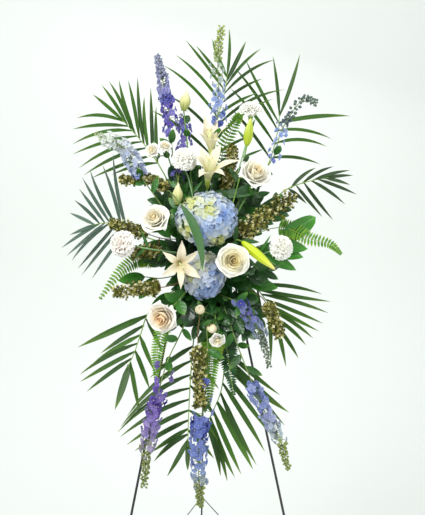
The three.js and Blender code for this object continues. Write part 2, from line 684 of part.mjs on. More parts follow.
// Broad leaves, in the layer between the palms and the ferns
const salalRight = stem([[40, 8, 58], [67, 14, 58], [130, 40, 60], [199, 60, 62]], 2.2, 1.8);
const salalRightUp = branch(salalRight, 0.35, [[96, 66, 58], [106, 108, 60]], 1.6);
const salalRightDown = branch(salalRight, 0.35, [[92, -26, 58], [104, -66, 60]], 1.6);
leafyStem('salal_right', SALAL, [salalRight, salalRightUp, salalRightDown], [
  [salalRight, 0.98, [283, 118, 62], 22],
  [salalRight, 0.8, [262, 34, 64], 17],
  [salalRight, 0.7, [251, 6, 58], 16],
  [salalRight, 0.62, [232, -26, 54], 14],
  [salalRightUp, 0.98, [131, 190, 62], 19, 4],
  [salalRightUp, 0.8, [196, 178, 58], 18, 4],
  [salalRightUp, 0.6, [72, 150, 60], 16, 4],
  [salalRightDown, 0.98, [126, -132, 60], 18, 4],
  [salalRightDown, 0.8, [184, -68, 58], 17, 4],
  [salalRightDown, 0.7, [84, -136, 60], 16, 4],
]);
const salalLeft = stem([[-40, -22, 58], [-67, -30, 58], [-120, -42, 60], [-165, -38, 62]], 2.2, 1.8);
const salalLeftUp = branch(salalLeft, 0.35, [[-90, 30, 58], [-100, 84, 60]], 1.6);
const salalLeftDown = branch(salalLeft, 0.35, [[-88, -70, 58], [-92, -98, 60]], 1.6);
leafyStem('salal_left', SALAL, [salalLeft, salalLeftUp, salalLeftDown], [
  [salalLeft, 0.98, [-232, -48, 62], 15],
  [salalLeft, 0.8, [-178, -96, 64], 14],
  [salalLeftUp, 0.98, [-72, 160, 60], 17, 4],
  [salalLeftUp, 0.8, [-160, 142, 58], 18, 4],
  [salalLeftUp, 0.5, [-152, 52, 58], 17, 4],
  [salalLeftDown, 0.98, [-82, -172, 60], 17, 4],
  [salalLeftDown, 0.7, [-150, -124, 58], 16, 4],
]);
const darkLeaf = stem([[-24, -84, 74], [-29, -104, 102], [-44, -114, 112]], 2);
leafyStem('leaf_dark', FERN_DARK, [darkLeaf], [
  [darkLeaf, 0.98, [-60, -165, 112], 17],
  [darkLeaf, 0.6, [-18, -165, 92], 13],
]);
const bladeFront = stem([[-44, 66, 70], [-56, 84, 96], [-94, 156, 112], [-104, 186, 168], [-90, 176, 214],
  [-66, 148, 228]], 2, 2, 6);
leafyStem('leaf_front', SALAL, [bladeFront], [[bladeFront, 0.98, [-12, -20, 232], 11, 14]]);

// Filler spikes
const goldRight = stem([[46, 46, 70], [66, 56, 96], [95, 76, 126], [222, 172, 126]], 2, 1.5);
filler('filler_right', [goldRight], [{ on: goldRight, from: 0.62, reach: 22 }]);
const goldLeft = stem([[-46, 50, 66], [-66, 58, 84], [-120, 62, 112], [-170, 78, 118], [-251, 101, 112]],
  2, 1.5, 5);
const goldLeftLow = branch(goldLeft, 0.42, [[-130, 40, 106], [-160, 30, 108], [-195, 22, 106]], 1.5);
filler('filler_left', [goldLeft, goldLeftLow], [
  { on: goldLeft, from: 0.66, reach: 19 },
  { on: goldLeftLow, from: 0.25, reach: 22 },
]);
const goldLow = stem([[-46, -40, 76], [-66, -50, 100], [-110, -64, 120], [-150, -66, 118], [-240, -80, 112]],
  2, 1.5, 5);
filler('filler_left_low', [goldLow], [{ on: goldLow, from: 0.56, reach: 23 }]);
const goldBottom = stem([[-14, -88, 70], [-16, -117, 96], [-25, -185, 122], [-22, -265, 126],
  [-20, -374, 122]], 2, 1.5, 5);
filler('filler_bottom', [goldBottom], [{ on: goldBottom, from: 0.6, reach: 21 }]);
const goldRightLow = stem([[44, -44, 66], [64, -54, 84], [140, -90, 112], [165, -130, 116], [190, -192, 112]],
  2, 1.5, 5);
filler('filler_right_low', [goldRightLow], [{ on: goldRightLow, from: 0.6, reach: 20 }]);
const goldTop = stem([[22, 74, 76], [30, 97, 96], [45, 180, 112], [56, 235, 116], [66, 300, 112]], 2, 1.5, 5);
filler('filler_top', [goldTop], [{ on: goldTop, from: 0.5, reach: 18 }]);
const goldUpper = stem([[-46, 72, 60], [-71, 97, 78], [-100, 175, 104], [-140, 212, 108], [-225, 212, 104]],
  2, 1.5, 5);
filler('filler_upper_left', [goldUpper], [{ on: goldUpper, from: 0.55, reach: 16 }]);

// Delphiniums
const delphTopLeft = stem([[-32, 74, 72], [-40, 97, 94], [-82, 230, 120], [-95, 320, 126], [-103, 411, 128],
  [-111, 439, 128], [-118, 481, 126], [-131, 536, 120]], 2.2, 1.3, 7);
const delphTopBranch = branch(delphTopLeft, 0.3, [[-72, 250, 108], [-58, 330, 110], [-69, 385, 108]], 1.5);
delphinium('delphinium_top_left', VIOLET, [delphTopLeft, delphTopBranch], [
  { on: delphTopLeft, from: 0.46, buds: 0.68, florets: 5 },
  { on: delphTopBranch, from: 0.2, buds: 0.6, florets: 2, rows: 4, size: 11 },
]);
const delphTop = stem([[6, 76, 78], [8, 97, 98], [12, 240, 106], [25, 356, 124], [28, 440, 126],
  [27, 540, 124], [36, 612, 116]], 2.2, 1.2, 7);
delphinium('delphinium_top', BLUE, [delphTop], [{ on: delphTop, from: 0.5, buds: 0.68, florets: 6 }]);
const delphRight = stem([[40, 74, 76], [52, 97, 98], [100, 190, 112], [168, 265, 122], [191, 338, 124],
  [212, 377, 124], [256, 429, 120], [284, 415, 112]], 2.2, 1.3, 8);
delphinium('delphinium_top_right', BLUE, [delphRight],
  [{ on: delphRight, from: 0.42, buds: 0.64, florets: 6, size: 12 }]);
const delphLeft = stem([[-48, 64, 76], [-66, 76, 94], [-150, 190, 122], [-181, 234, 126], [-207, 286, 126],
  [-240, 309, 124], [-290, 332, 118]], 2.2, 1.3, 6);
delphinium('delphinium_left', BLUE, [delphLeft], [{ on: delphLeft, from: 0.45, buds: 0.68, florets: 6 }]);
const delphLowLeft = stem([[-36, -86, 72], [-42, -117, 94], [-72, -190, 112], [-105, -260, 122],
  [-131, -356, 128], [-147, -424, 128], [-155, -486, 124], [-165, -582, 116]], 2.2, 1.3, 7);
delphinium('delphinium_bottom_left', VIOLET, [delphLowLeft],
  [{ on: delphLowLeft, from: 0.42, buds: 0.68, florets: 6, rows: 8 }]);
const delphBottom = stem([[-6, -88, 80], [-6, -117, 98], [2, -260, 106], [-12, -385, 112], [-22, -437, 122],
  [-22, -554, 124], [-17, -632, 118]], 2.2, 1.3, 7);
delphinium('delphinium_bottom', DEEP_BLUE, [delphBottom],
  [{ on: delphBottom, from: 0.5, buds: 0.68, florets: 6, rows: 8 }]);
const delphLowRight = stem([[36, -88, 72], [44, -117, 92], [80, -220, 104], [116, -312, 116],
  [150, -390, 120], [183, -447, 120], [212, -541, 114]], 2.2, 1.3, 7);
delphinium('delphinium_bottom_right', BLUE, [delphLowRight],
  [{ on: delphLowRight, from: 0.5, buds: 0.7, florets: 6 }]);
const delphLow = stem([[24, -78, 78], [40, -88, 104], [84, -108, 140], [112, -146, 150], [136, -180, 144],
  [150, -215, 132], [160, -273, 122]], 2.2, 1.3, 6);
delphinium('delphinium_right_low', DEEP_BLUE, [delphLow],
  [{ on: delphLow, from: 0.34, buds: 0.66, florets: 6, size: 13 }]);

// Roses
rose('rose_upper_right', [[46, 72, 68], [54, 84, 96], [104, 180, 128]], [129, 237, 188],
  [0.3, 0.4, 0.85], 40);
rose('rose_left', [[-48, 58, 74], [-58, 66, 100], [-110, 100, 136]], [-139, 117, 196],
  [-0.3, 0.35, 0.88], 38);
rose('rose_centre', [[36, 2, 70], [42, 2, 100], [58, 4, 150]], [69, 5, 226], [0.1, 0, 1], 44);
rose('rose_lower_left', [[-44, -66, 72], [-54, -76, 98], [-96, -122, 134]], [-121, -146, 192],
  [-0.35, -0.3, 0.88], 39);
const sprayLow = stem([[12, -84, 78], [18, -117, 108], [22, -165, 128], [26, -200, 132]], 2);
const sprayLowBuds = [
  branch(sprayLow, 0.45, [[14, -160, 140], [12, -166, 146]], 1.4),
  branch(sprayLow, 0.4, [[-10, -128, 132], [-18, -126, 142]], 1.4),
];
sprayRose('spray_rose_bottom', [sprayLow, ...sprayLowBuds], [[[27, -205, 148], [0.1, -0.4, 0.9], 21]],
  [[[12, -164, 142], [12, -184, 166], 13], [[-18, -126, 138], [-21, -118, 166], 13]]);
const sprayTop = stem([[-38, 92, 62], [-44, 112, 82], [-90, 235, 112], [-110, 300, 140]], 2);
const sprayTopBranch = branch(sprayTop, 0.8, [[-126, 276, 122], [-140, 288, 142]], 1.6);
sprayRose('spray_rose_top_left', [sprayTop, sprayTopBranch],
  [[[-146, 292, 150], [-0.5, 0.3, 0.8], 22], [[-110, 304, 148], [0.1, 0.5, 0.85], 18]], []);
rosebud('rosebud_top_left', [[-24, 84, 72], [-28, 97, 96], [-52, 300, 128], [-62, 396, 134]],
  [-62, 394, 136], [-52, 450, 150], 15);
rosebud('rosebud_centre_left', [[-34, 70, 78], [-42, 84, 108], [-74, 132, 146], [-78, 150, 158]],
  [-78, 150, 158], [-76, 214, 176], 17);

// Carnations
carnation('carnation_upper_left', CREAM, [[-18, 78, 76], [-24, 97, 104], [-50, 220, 128]], [-59, 276, 162],
  [0.1, 0.5, 0.85], 33);
carnation('carnation_left', BLUSH, [[-50, 18, 76], [-62, 22, 100], [-160, 36, 150]], [-230, 49, 160],
  [-0.75, 0.1, 0.65], 36);
carnation('carnation_right', CREAM, [[48, 22, 74], [58, 25, 106], [140, 20, 144]], [202, 39, 158],
  [0.7, 0.1, 0.7], 34);
carnation('carnation_top_right', CREAM, [[30, 80, 78], [38, 97, 104], [98, 300, 116]], [113, 400, 126],
  [0, 0.9, 0.4], 34);

// Lilies
const lilyStem = stem([[-4, 78, 66], [-5, 97, 88], [-3, 160, 92], [0, 196, 118]], 3, 2.4);
const lilyUpper = branch(lilyStem, 0.85, [[10, 240, 122], [12, 276, 130]], 2.2);
const lowerTips = [[-30, 274, 190], [87, 265, 196], [35, 306, 168], [-18, 300, 160], [-22, 222, 214],
  [46, 226, 214]];
const upperTips = [[-8, 362, 136], [53, 354, 146], [26, 372, 128], [-26, 336, 166], [28, 318, 182],
  [-8, 384, 150]];
piece('lily_pair', { colour: LILY, roughness: 0.5 }, [
  lilyStem.body,
  lilyUpper.body,
  ...lilyHead([0, 192, 118], [4, 258, 182], lowerTips, 13),
  ...lilyHead([11, 270, 128], [6, 326, 146], upperTips, 12),
], [leaf(lilyStem.at(0.8), [137, 181, 134], 11, 26)]);
const starStem = stem([[-40, -8, 72], [-48, -6, 98], [-70, 2, 136], [-78, 4, 148]], 2.6);
const starTips = [[-66, 57, 206], [-22, 31, 214], [-17, -41, 214], [-69, -70, 206], [-119, -35, 200],
  [-117, 28, 200]];
piece('lily_star', { colour: LILY, roughness: 0.5 },
  [starStem.body, ...lilyHead([-78, 4, 148], [-67, -8, 204], starTips, 12)]);
const greenBud = stem([[30, 58, 78], [44, 84, 108], [84, 220, 156], [103, 305, 172]], 2);
piece('lily_bud_green', { colour: BUD_GREEN, roughness: 0.5 },
  [greenBud.body, spindle([102, 300, 170], [113, 376, 180], 12)]);
const yellowBud = stem([[44, 26, 78], [54, 34, 108], [76, 58, 160], [90, 54, 182]], 2.2);
piece('lily_bud_yellow', { colour: BUD_YELLOW, roughness: 0.5 },
  [yellowBud.body, spindle([88, 56, 180], [178, -20, 196], 12)]);

// Hydrangeas
hydrangea('hydrangea_upper', HYDRANGEA, [[0, 50, 74], [0, 62, 100], [-1, 100, 140]], [-1, 112, 166],
  [76, 52, 66], 9);
hydrangea('hydrangea_lower', HYDRANGEA_GREY, [[-8, -34, 74], [-8, -34, 100], [-8, -34, 130]], [-10, -34, 150],
  [54, 44, 60], 7);

// Repeats are fused to their piece where they are clear of every other piece, bent forward or back
// if they have to be
function boxesMeet(a, b) {
  const first = a.boundingBox();
  const second = b.boundingBox();
  return [0, 1, 2].every((i) => first.min[i] < second.max[i] && second.min[i] < first.max[i]);
}

function crosses(body, others) {
  return others.some((other) => boxesMeet(body, other) && body.intersect(other).volume() > 1e-4);
}

const BENDS = [0, 10, -10, 20, -20];
const easelParts = [
  ['easel_left_leg', frontLeg(-1)],
  ['easel_right_leg', fuse([frontLeg(1), hingePin()])],
  ['easel_back_leg', backLeg()],
  ['easel_spreader_left', spreader(-1)],
  ['easel_spreader_right', spreader(1)],
  ['easel_bar', bar()],
];
const foamTray = tray();
const fixed = [...easelParts.map(([, body]) => body), foamTray];

function grow() {
  for (const one of [...pieces].reverse()) {
    const others = pieces.filter((other) => other !== one).flatMap((other) => other.kept).concat(fixed);
    for (const repeat of one.repeats) {
      const made = BENDS.map(repeat).find((body) => !crosses(body, others));
      if (made) one.kept.push(made);
    }
  }
}

const foam = stems.reduce((block, one) => block.subtract(holeFor(one)),
  leaningBox([-FOAM_WIDTH / 2, FOAM_BOTTOM, FOAM_BACK], [FOAM_WIDTH / 2, FOAM_TOP, FOAM_FRONT]));
grow();

const group = new THREE.Group();
group.position.set(-ORIGIN_X, -ORIGIN_Y, 0);
function add(name, body, finish) {
  const mesh = new THREE.Mesh(geometryOf(body), new THREE.MeshStandardMaterial(finish));
  mesh.name = name;
  group.add(mesh);
}

for (const [name, body] of easelParts) add(name, body, { color: 0x2a2e33, roughness: 0.45, metalness: 0.6 });
add('foam_tray', foamTray, { color: 0x1f4a2a, roughness: 0.5 });
add('foam_block', foam, { color: 0x1e5a34, roughness: 0.95 });
for (const { name, finish, kept } of pieces) {
  add(name, fuse(kept), { color: finish.colour, roughness: finish.roughness });
}

export default group;
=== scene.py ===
"""Standing funeral spray on its wire easel: fine foliage and blooms in place of the plain CAD ones."""
import random
from math import atan2, cos, exp, pi, radians, sin, sqrt, tan

import bmesh
import bpy
from bpy.props import FloatProperty, FloatVectorProperty, IntProperty, PointerProperty
from mathutils import Matrix, Vector


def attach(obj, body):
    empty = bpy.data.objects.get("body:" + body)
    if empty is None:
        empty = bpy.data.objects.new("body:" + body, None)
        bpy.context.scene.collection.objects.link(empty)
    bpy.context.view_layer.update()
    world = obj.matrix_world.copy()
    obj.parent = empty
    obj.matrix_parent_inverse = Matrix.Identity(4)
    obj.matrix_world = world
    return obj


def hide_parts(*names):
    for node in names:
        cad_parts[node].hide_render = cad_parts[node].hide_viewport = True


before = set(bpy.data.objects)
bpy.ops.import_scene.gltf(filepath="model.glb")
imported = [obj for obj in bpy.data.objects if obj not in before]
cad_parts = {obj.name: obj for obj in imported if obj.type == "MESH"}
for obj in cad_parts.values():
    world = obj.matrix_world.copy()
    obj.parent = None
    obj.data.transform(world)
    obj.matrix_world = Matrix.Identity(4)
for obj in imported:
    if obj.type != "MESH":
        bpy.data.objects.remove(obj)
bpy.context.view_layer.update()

bl_info = {
    "name": "Standing Funeral Spray",
    "version": (1, 0, 0),
    "blender": (4, 5, 0),
    "location": "View3D > Sidebar > Spray",
    "description": "Fronds, ferns, spikes and blooms of a standing spray on a wire easel",
    "category": "Object",
}

MM = 0.001
BODY = "spray_and_front_legs"
GOLDEN_ANGLE = pi * (3 - sqrt(5))
SHARP_EDGE = radians(62)
SAME_PLACE = 2e-6

# The frame of the spray, in millimetres: the leaning legs, the foam's middle and the eye in front
APEX_HEIGHT = 1373
LEAN = atan2(240, APEX_HEIGHT)
FOAM_MIDDLE = 1113
ORIGIN_X = 8.8
ORIGIN_Y = 40.5
VIEW_DISTANCE = 2500
VIEW_PLANE_Y = -150
VIEW_TURN = 0.0436
CURL_FORWARD = 60 / 600 ** 2
FORWARD = Vector((0, -1, 0))
UP = Vector((0, 0, 1))

# The studio, in metres: paper that curves up from the floor into a wall, the camera and the lamps
FLOOR_FRONT, FLOOR_STRAIGHT, FLOOR_BEND, FLOOR_RUN = -4.0, 5.5, 1.2, 5.0
CAMERA_TARGET = Vector((0.0042, -0.1905, 1.125))
CAMERA_AZIMUTH, CAMERA_DISTANCE, CAMERA_LENS = radians(-2.5), 2.5, 81.4
SPRAY_MIDDLE, WALL_MIDDLE = (0, -0.15, 1.1), (0, 3.2, 0.9)
LAMPS = (
    ("key", (-1.8, -3.0, 3.4), 170, 1.8, SPRAY_MIDDLE),
    ("fill", (2.6, -2.8, 1.6), 60, 2.4, SPRAY_MIDDLE),
    ("back", (0.6, 1.6, 3.2), 40, 1.4, SPRAY_MIDDLE),
    ("wall", (0, 0.9, 3.6), 25, 3.0, WALL_MIDDLE),
)
ROOM_COLOUR, ROOM_LIGHT = "#f4faf8", 0.58


def linear(code):
    """An sRGB hex colour as Blender's linear colour."""
    parts = [int(code[i:i + 2], 16) / 255 for i in (1, 3, 5)]
    return [c / 12.92 if c <= 0.04045 else ((c + 0.055) / 1.055) ** 2.4 for c in parts]


def seen(right, up, forward):
    """The place of a point that the eye in front sees right, up and forward of the foam's middle."""
    y = -tan(LEAN) * (APEX_HEIGHT - FOAM_MIDDLE - up) - forward - CURL_FORWARD * (right ** 2 + up ** 2)
    scale = (y - VIEW_PLANE_Y + VIEW_DISTANCE) / VIEW_DISTANCE
    x = right * scale + (y - VIEW_PLANE_Y) * VIEW_TURN
    return Vector(((x - ORIGIN_X) * MM, (y - ORIGIN_Y) * MM, (FOAM_MIDDLE + up * scale) * MM))


class Path:
    """A smooth curve through points, the centripetal spline that the CAD stems follow."""

    def __init__(self, points):
        points = [Vector(p) for p in points]
        ends = [2 * points[0] - points[1], *points, 2 * points[-1] - points[-2]]
        self.spans = [self.span(*ends[i:i + 4]) for i in range(len(points) - 1)]

    @staticmethod
    def span(a, b, c, d):
        gaps = [max((q - p).length, 1e-8) ** 0.5 for p, q in ((a, b), (b, c), (c, d))]
        first = ((b - a) / gaps[0] - (c - a) / (gaps[0] + gaps[1]) + (c - b) / gaps[1]) * gaps[1]
        second = ((c - b) / gaps[1] - (d - b) / (gaps[1] + gaps[2]) + (d - c) / gaps[2]) * gaps[1]
        return b, first, 3 * (c - b) - 2 * first - second, 2 * (b - c) + first + second

    def at(self, t):
        place = min(max(t, 0), 1) * len(self.spans)
        i = min(int(place), len(self.spans) - 1)
        t = place - i
        a, b, c, d = self.spans[i]
        return a + t * (b + t * (c + t * d))

    def along(self, t):
        return (self.at(min(t + 0.002, 1)) - self.at(max(t - 0.002, 0))).normalized()

    def length(self):
        places = [self.at(i / 40) for i in range(41)]
        return sum((q - p).length for p, q in zip(places, places[1:]))

    def steps(self, start, end, count):
        """Evenly spaced stops between two shares of the path: number, share, place and direction."""
        for i in range(count):
            t = start + (end - start) * (i + 0.5) / count
            yield i, t, self.at(t), self.along(t)


def stem_path(points):
    return Path([seen(*p) for p in points])


def around(axis, angle):
    """The direction at an angle round an axis, square to it."""
    first = axis.cross(Vector((1, 0, 0)) if abs(axis.z) > 0.9 else UP).normalized()
    return first * cos(angle) + axis.cross(first) * sin(angle)


def turned(place, axis, roll, size):
    """The matrix that stands a template's Z on an axis at a place."""
    first = around(axis, roll)
    columns = Matrix((first, axis.cross(first), axis)).transposed() * size
    return Matrix.Translation(place) @ columns.to_4x4()


def facing(right, up, forward):
    return Vector((right, -forward, up)).normalized()


def stretched(vector, by):
    return Vector([v * b for v, b in zip(vector, by)])


def bump(t, low, high):
    """0 at low, 1 at high, smooth between."""
    t = min(1, max(0, (t - low) / (high - low)))
    return t * t * (3 - 2 * t)


def swell(t, start, gain, power=1):
    """A width that grows and shrinks as half a sine wave, entered at start and run through by gain."""
    return sin(pi * min(1, start + gain * t)) ** power


def bowed(w, start, middle, end):
    return start * (1 - w) ** 2 + middle * 2 * w * (1 - w) + end * w * w


def as_mesh(part, name):
    mesh = bpy.data.meshes.new(name)
    part.to_mesh(mesh)
    part.free()
    return mesh


def put(name, data, place=(0, 0, 0), aim=None):
    """A new object in the scene, turned toward a point where one is given."""
    thing = bpy.data.objects.new(name, data)
    bpy.context.scene.collection.objects.link(thing)
    thing.location = place
    if aim is not None:
        thing.rotation_euler = (Vector(aim) - thing.location).to_track_quat("-Z", "Y").to_euler()
    return thing


MARKS = ("along", "across", "spot", "chance")


class Piece:
    """One mesh in the making: sheets, tubes and stamped copies, with marks that the materials read."""

    def __init__(self, seed=1):
        self.bm = bmesh.new()
        for mark in MARKS:
            self.bm.verts.layers.float.new(mark)
        self.draw = random.Random(seed)
        self.between = self.draw.uniform

    def sheet(self, surface, across, along, thick=0.0005, material=0, spot=0.5):
        """A grid bent by surface(u, w), with u from -1 to 1 across and w from 0 to 1 along."""
        part = bmesh.new()
        bmesh.ops.create_grid(part, x_segments=across, y_segments=along, size=1)
        layers = [part.verts.layers.float.new(mark) for mark in MARKS]
        chance = self.draw.random()
        for vert in part.verts:
            u, w = vert.co.x, (vert.co.y + 1) / 2
            for layer, value in zip(layers, (w, u, spot, chance)):
                vert[layer] = value
            vert.co = surface(u, w)
        bmesh.ops.remove_doubles(part, verts=part.verts, dist=SAME_PLACE)
        bmesh.ops.recalc_face_normals(part, faces=part.faces)
        if thick:
            bmesh.ops.solidify(part, geom=part.faces[:], thickness=thick)
        for face in part.faces:
            face.material_index = material
        self.take(as_mesh(part, "part"))

    def tube(self, path, radius, sides=6, rows=8, material=0):
        """A closed round stem; radius(t) in metres."""
        def surface(u, w):
            row = round(w * rows)
            t = min(1, max(0, (row - 1) / (rows - 2)))
            along = path.along(t)
            across = along.cross(FORWARD).normalized()
            out = across.cross(along)
            angle = pi * u
            reach = 0 if row in (0, rows) else radius(t)
            return path.at(t) + (across * sin(angle) + out * cos(angle)) * reach
        self.sheet(surface, sides, rows, 0, material)

    def twig(self, points, radius, sides=3, rows=3, material=2):
        self.tube(Path(points), lambda t: radius, sides, rows, material)

    def stem(self, points, low, high=None, rows=12, material=2, leaves=None):
        """A stem that thins from one radius to another (mm), with leaves by stem_leaves; gives its path."""
        path = points if isinstance(points, Path) else stem_path(points)
        gain = 0 if high is None else high - low
        self.tube(path, lambda t: (low + gain * t) * MM, 6, rows, material)
        if leaves:
            stem_leaves(self, path, *leaves)
        return path

    def turn(self, place, axis, profile, sides, rows, material=0, ribs=0, depth=0.0):
        """A closed round form about an axis; profile(t) gives (height, radius) in metres."""
        def surface(u, w):
            height, radius = profile(w)
            angle = pi * u
            radius *= 1 + depth * cos(ribs * angle) if 0 < w < 1 else 0
            return place + axis * height + around(axis, angle) * radius
        self.sheet(surface, sides, rows, 0, material)

    def take(self, mesh):
        self.bm.from_mesh(mesh)
        bpy.data.meshes.remove(mesh)

    def template(self):
        return as_mesh(self.bm, "template")

    def stamp(self, template, matrix, spot, chance=None):
        mesh = template.copy()
        mesh.transform(matrix)
        chance = self.draw.random() if chance is None else chance
        for mark, value in (("spot", spot), ("chance", chance)):
            mesh.attributes[mark].data.foreach_set("value", [value] * len(mesh.vertices))
        self.take(mesh)

    def finish(self, name, node, materials):
        mesh = as_mesh(self.bm, name)
        mesh.shade_smooth()
        mesh.set_sharp_from_angle(angle=SHARP_EDGE)
        for material in materials:
            mesh.materials.append(material)
        piece = put(name, mesh)
        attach(piece, BODY)
        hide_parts(node)


def pieces(rows, seed):
    """Each row of a table after a new piece for it, seeded by turns."""
    for i, row in enumerate(rows):
        yield Piece(seed + i), *row


class Look:
    """A procedural material in the making; its methods add nodes and give back their output."""

    def __init__(self, name, roughness, specular=0.5, sheen=0.0, coat=0.0):
        self.material = bpy.data.materials.new(name)
        self.material.use_nodes = True
        self.tree = self.material.node_tree
        self.shader = self.tree.nodes["Principled BSDF"]
        for key, value in (("Roughness", roughness), ("Specular IOR Level", specular),
                           ("Sheen Weight", sheen), ("Coat Weight", coat), ("Coat Roughness", 0.25)):
            self.shader.inputs[key].default_value = value

    def add(self, kind, **settings):
        """Adds a node; settings are its properties or what goes to its inputs."""
        node = self.tree.nodes.new("ShaderNode" + kind)
        for key, value in settings.items():
            if hasattr(node, key):
                setattr(node, key, value)
            else:
                self.give(node.inputs[key], value)
        return node

    def give(self, socket, value):
        """Sets an input to a number or a hex colour, or links it to another node's output."""
        if isinstance(value, str):
            socket.default_value = (*linear(value), 1)
        elif isinstance(value, (int, float)):
            socket.default_value = value
        else:
            self.tree.links.new(value, socket)

    def mix_in(self, second):
        """Puts a mix with a second shader on the surface and gives back its share."""
        both = self.add("MixShader")
        for socket, shader in zip(both.inputs[1:], (self.shader, second)):
            self.give(socket, shader.outputs[0])
        self.give(self.tree.nodes["Material Output"].inputs["Surface"], both.outputs[0])
        return both.inputs["Fac"]

    def let_light_through(self, colour, share):
        """Mixes some translucency in, for thin leaves and petals."""
        self.give(self.mix_in(self.add("BsdfTranslucent", Color=colour)), share)

    def mark(self, name):
        return self.add("Attribute", attribute_name=name).outputs["Fac"]

    def place(self):
        return self.add("TexCoord").outputs["Object"]

    def ramp(self, source, stops):
        """A colour ramp from a mark; stops are {place: hex colour}."""
        node = self.add("ValToRGB", Fac=source)
        ends = node.color_ramp.elements
        while len(ends) < len(stops):
            ends.new(0.5)
        for end, (place, code) in zip(ends, stops.items()):
            end.position = place
            end.color = (*linear(code), 1)
        return node.outputs["Color"]

    def mixed(self, share, first, second):
        """Two colours mixed by a mark or number; each is an output or a hex colour."""
        node = self.add("Mix", data_type="RGBA", blend_type="MIX")
        for i, value in ((0, share), (6, first), (7, second)):
            self.give(node.inputs[i], value)
        return node.outputs[2]

    def number(self, operation, *values, clamp=False):
        node = self.add("Math", operation=operation, use_clamp=clamp)
        for socket, value in zip(node.inputs, values):
            self.give(socket, value)
        return node.outputs[0]

    def times(self, first, second):
        return self.number("MULTIPLY", first, second)

    def mottle(self, size_mm):
        """Soft noise on object coordinates whose patches are about size_mm across."""
        return self.add("TexNoise", Vector=self.place(), Scale=1000 / size_mm).outputs["Fac"]

    def paint(self, colour, thin=0.0):
        self.give(self.shader.inputs["Base Color"], colour)
        if thin:
            self.let_light_through(colour, thin)

    def raise_by(self, height, distance_mm):
        node = self.add("Bump", Height=height, Distance=distance_mm * MM)
        self.give(self.shader.inputs["Normal"], node.outputs["Normal"])


def leaf_material(name, dark, light, tip, roughness=0.42, ribs=0.0, veins=0.0, coat=0.0):
    """Waxy leaf: darker and lighter leaflets by chance, a paler midrib, veins along or across."""
    look = Look(name, roughness, coat=coat)
    across = look.mark("across")
    body = look.mixed(look.mark("chance"), dark, light)
    body = look.mixed(look.times(look.mottle(30), 0.35), body, dark)
    rib = look.number("SUBTRACT", 1.0, look.times(look.number("ABSOLUTE", across), 7), clamp=True)
    body = look.mixed(look.times(rib, 0.45), body, light)
    body = look.mixed(look.number("POWER", look.mark("along"), 6), body, tip)
    look.paint(body, 0.18)
    if ribs:
        look.raise_by(look.number("SINE", look.times(across, ribs)), 0.25)
    if veins:
        slant = look.number("SUBTRACT", look.times(look.mark("along"), veins),
                            look.times(look.number("ABSOLUTE", across), 5))
        look.raise_by(look.number("SINE", slant), 0.2)
    return look.material


def petal_material(name, stops, edge, edge_share=0.35, by="along", roughness=0.6, sheen=0.15, streaks=14.0,
                   patches=None, thin=0.45):
    """Soft petal: colours along the petal or along the spike, a tinted edge and fine lengthwise veins."""
    look = Look(name, roughness, 0.3, sheen)
    body = look.ramp(look.mark(by), stops)
    if patches:
        body = look.mixed(look.times(look.mark("chance"), patches[0]), body, patches[1])
    rim = look.times(look.number("POWER", look.mark("along"), 5), edge_share)
    look.paint(look.mixed(rim, body, edge), thin)
    look.raise_by(look.number("SINE", look.times(look.mark("across"), streaks)), 0.12)
    return look.material


def mottled_material(name, low, high, patch=12, grain=2, rise=0.2, roughness=0.55, coat=0.0):
    """Two tones in soft patches over a fine grain (mm); as it stands, a green stem with soft fibres."""
    look = Look(name, roughness, coat=coat)
    look.paint(look.mixed(look.mottle(patch), low, high))
    look.raise_by(look.mottle(grain), rise)
    return look.material


STEM_LEAVES = {
    # Leaf of a cut flower: thin, mid green, faint side veins
    "cut_flower_leaf": ("#1a4410", "#3c7d2b", "#6a9a34", 0.42, 0.0, 24.0),
    # Leaf of a lily stem: long parallel ribs, satin
    "lily_stem_leaf": ("#24562c", "#437238", "#5f8a4a", 0.4, 26.0, 0.0, 0.15),
}


def stem_leaf_material(name="cut_flower_leaf"):
    return bpy.data.materials.get(name) or leaf_material(name, *STEM_LEAVES[name])


def colour_property(name, description, code):
    return FloatVectorProperty(name=name, description=description, subtype="COLOR", size=3, min=0, max=1,
                               default=linear(code))


def length_property(name, description, default, low, high):
    return FloatProperty(name=name, description=description, default=default, min=low, max=high,
                         subtype="DISTANCE", unit="LENGTH")


class SprayColours(bpy.types.PropertyGroup):
    palm: colour_property("Palm leaf", "Middle green of the palm leaflets", "#447712")
    hydrangea: colour_property("Hydrangea", "Blue of the hydrangea florets", "#8db2ec")
    rose: colour_property("Rose", "Cream of the rose petals", "#fffefa")


class SpraySizes(bpy.types.PropertyGroup):
    petal: length_property("Petal thickness", "Thickness of petals and florets", 0.0005, 0.0002, 0.002)
    leaflet: length_property("Leaflet half width", "Half the width of a palm leaflet", 0.0046, 0.002, 0.01)
    florets: IntProperty(name="Hydrangea florets", description="Florets on the larger hydrangea head",
                         default=280, min=60, max=400)
    stage: length_property("Floor", "Half the width of the studio floor", 6.0, 2, 20)


def sizes():
    return bpy.context.scene.spray_sizes


def colour_of(name):
    """A colour property as the hex code that the materials take."""
    def coded(c):
        c = c * 12.92 if c <= 0.0031308 else 1.055 * c ** (1 / 2.4) - 0.055
        return round(min(1, max(0, c)) * 255)
    return "#" + "".join(f"{coded(c):02x}" for c in getattr(bpy.context.scene.spray_colours, name))


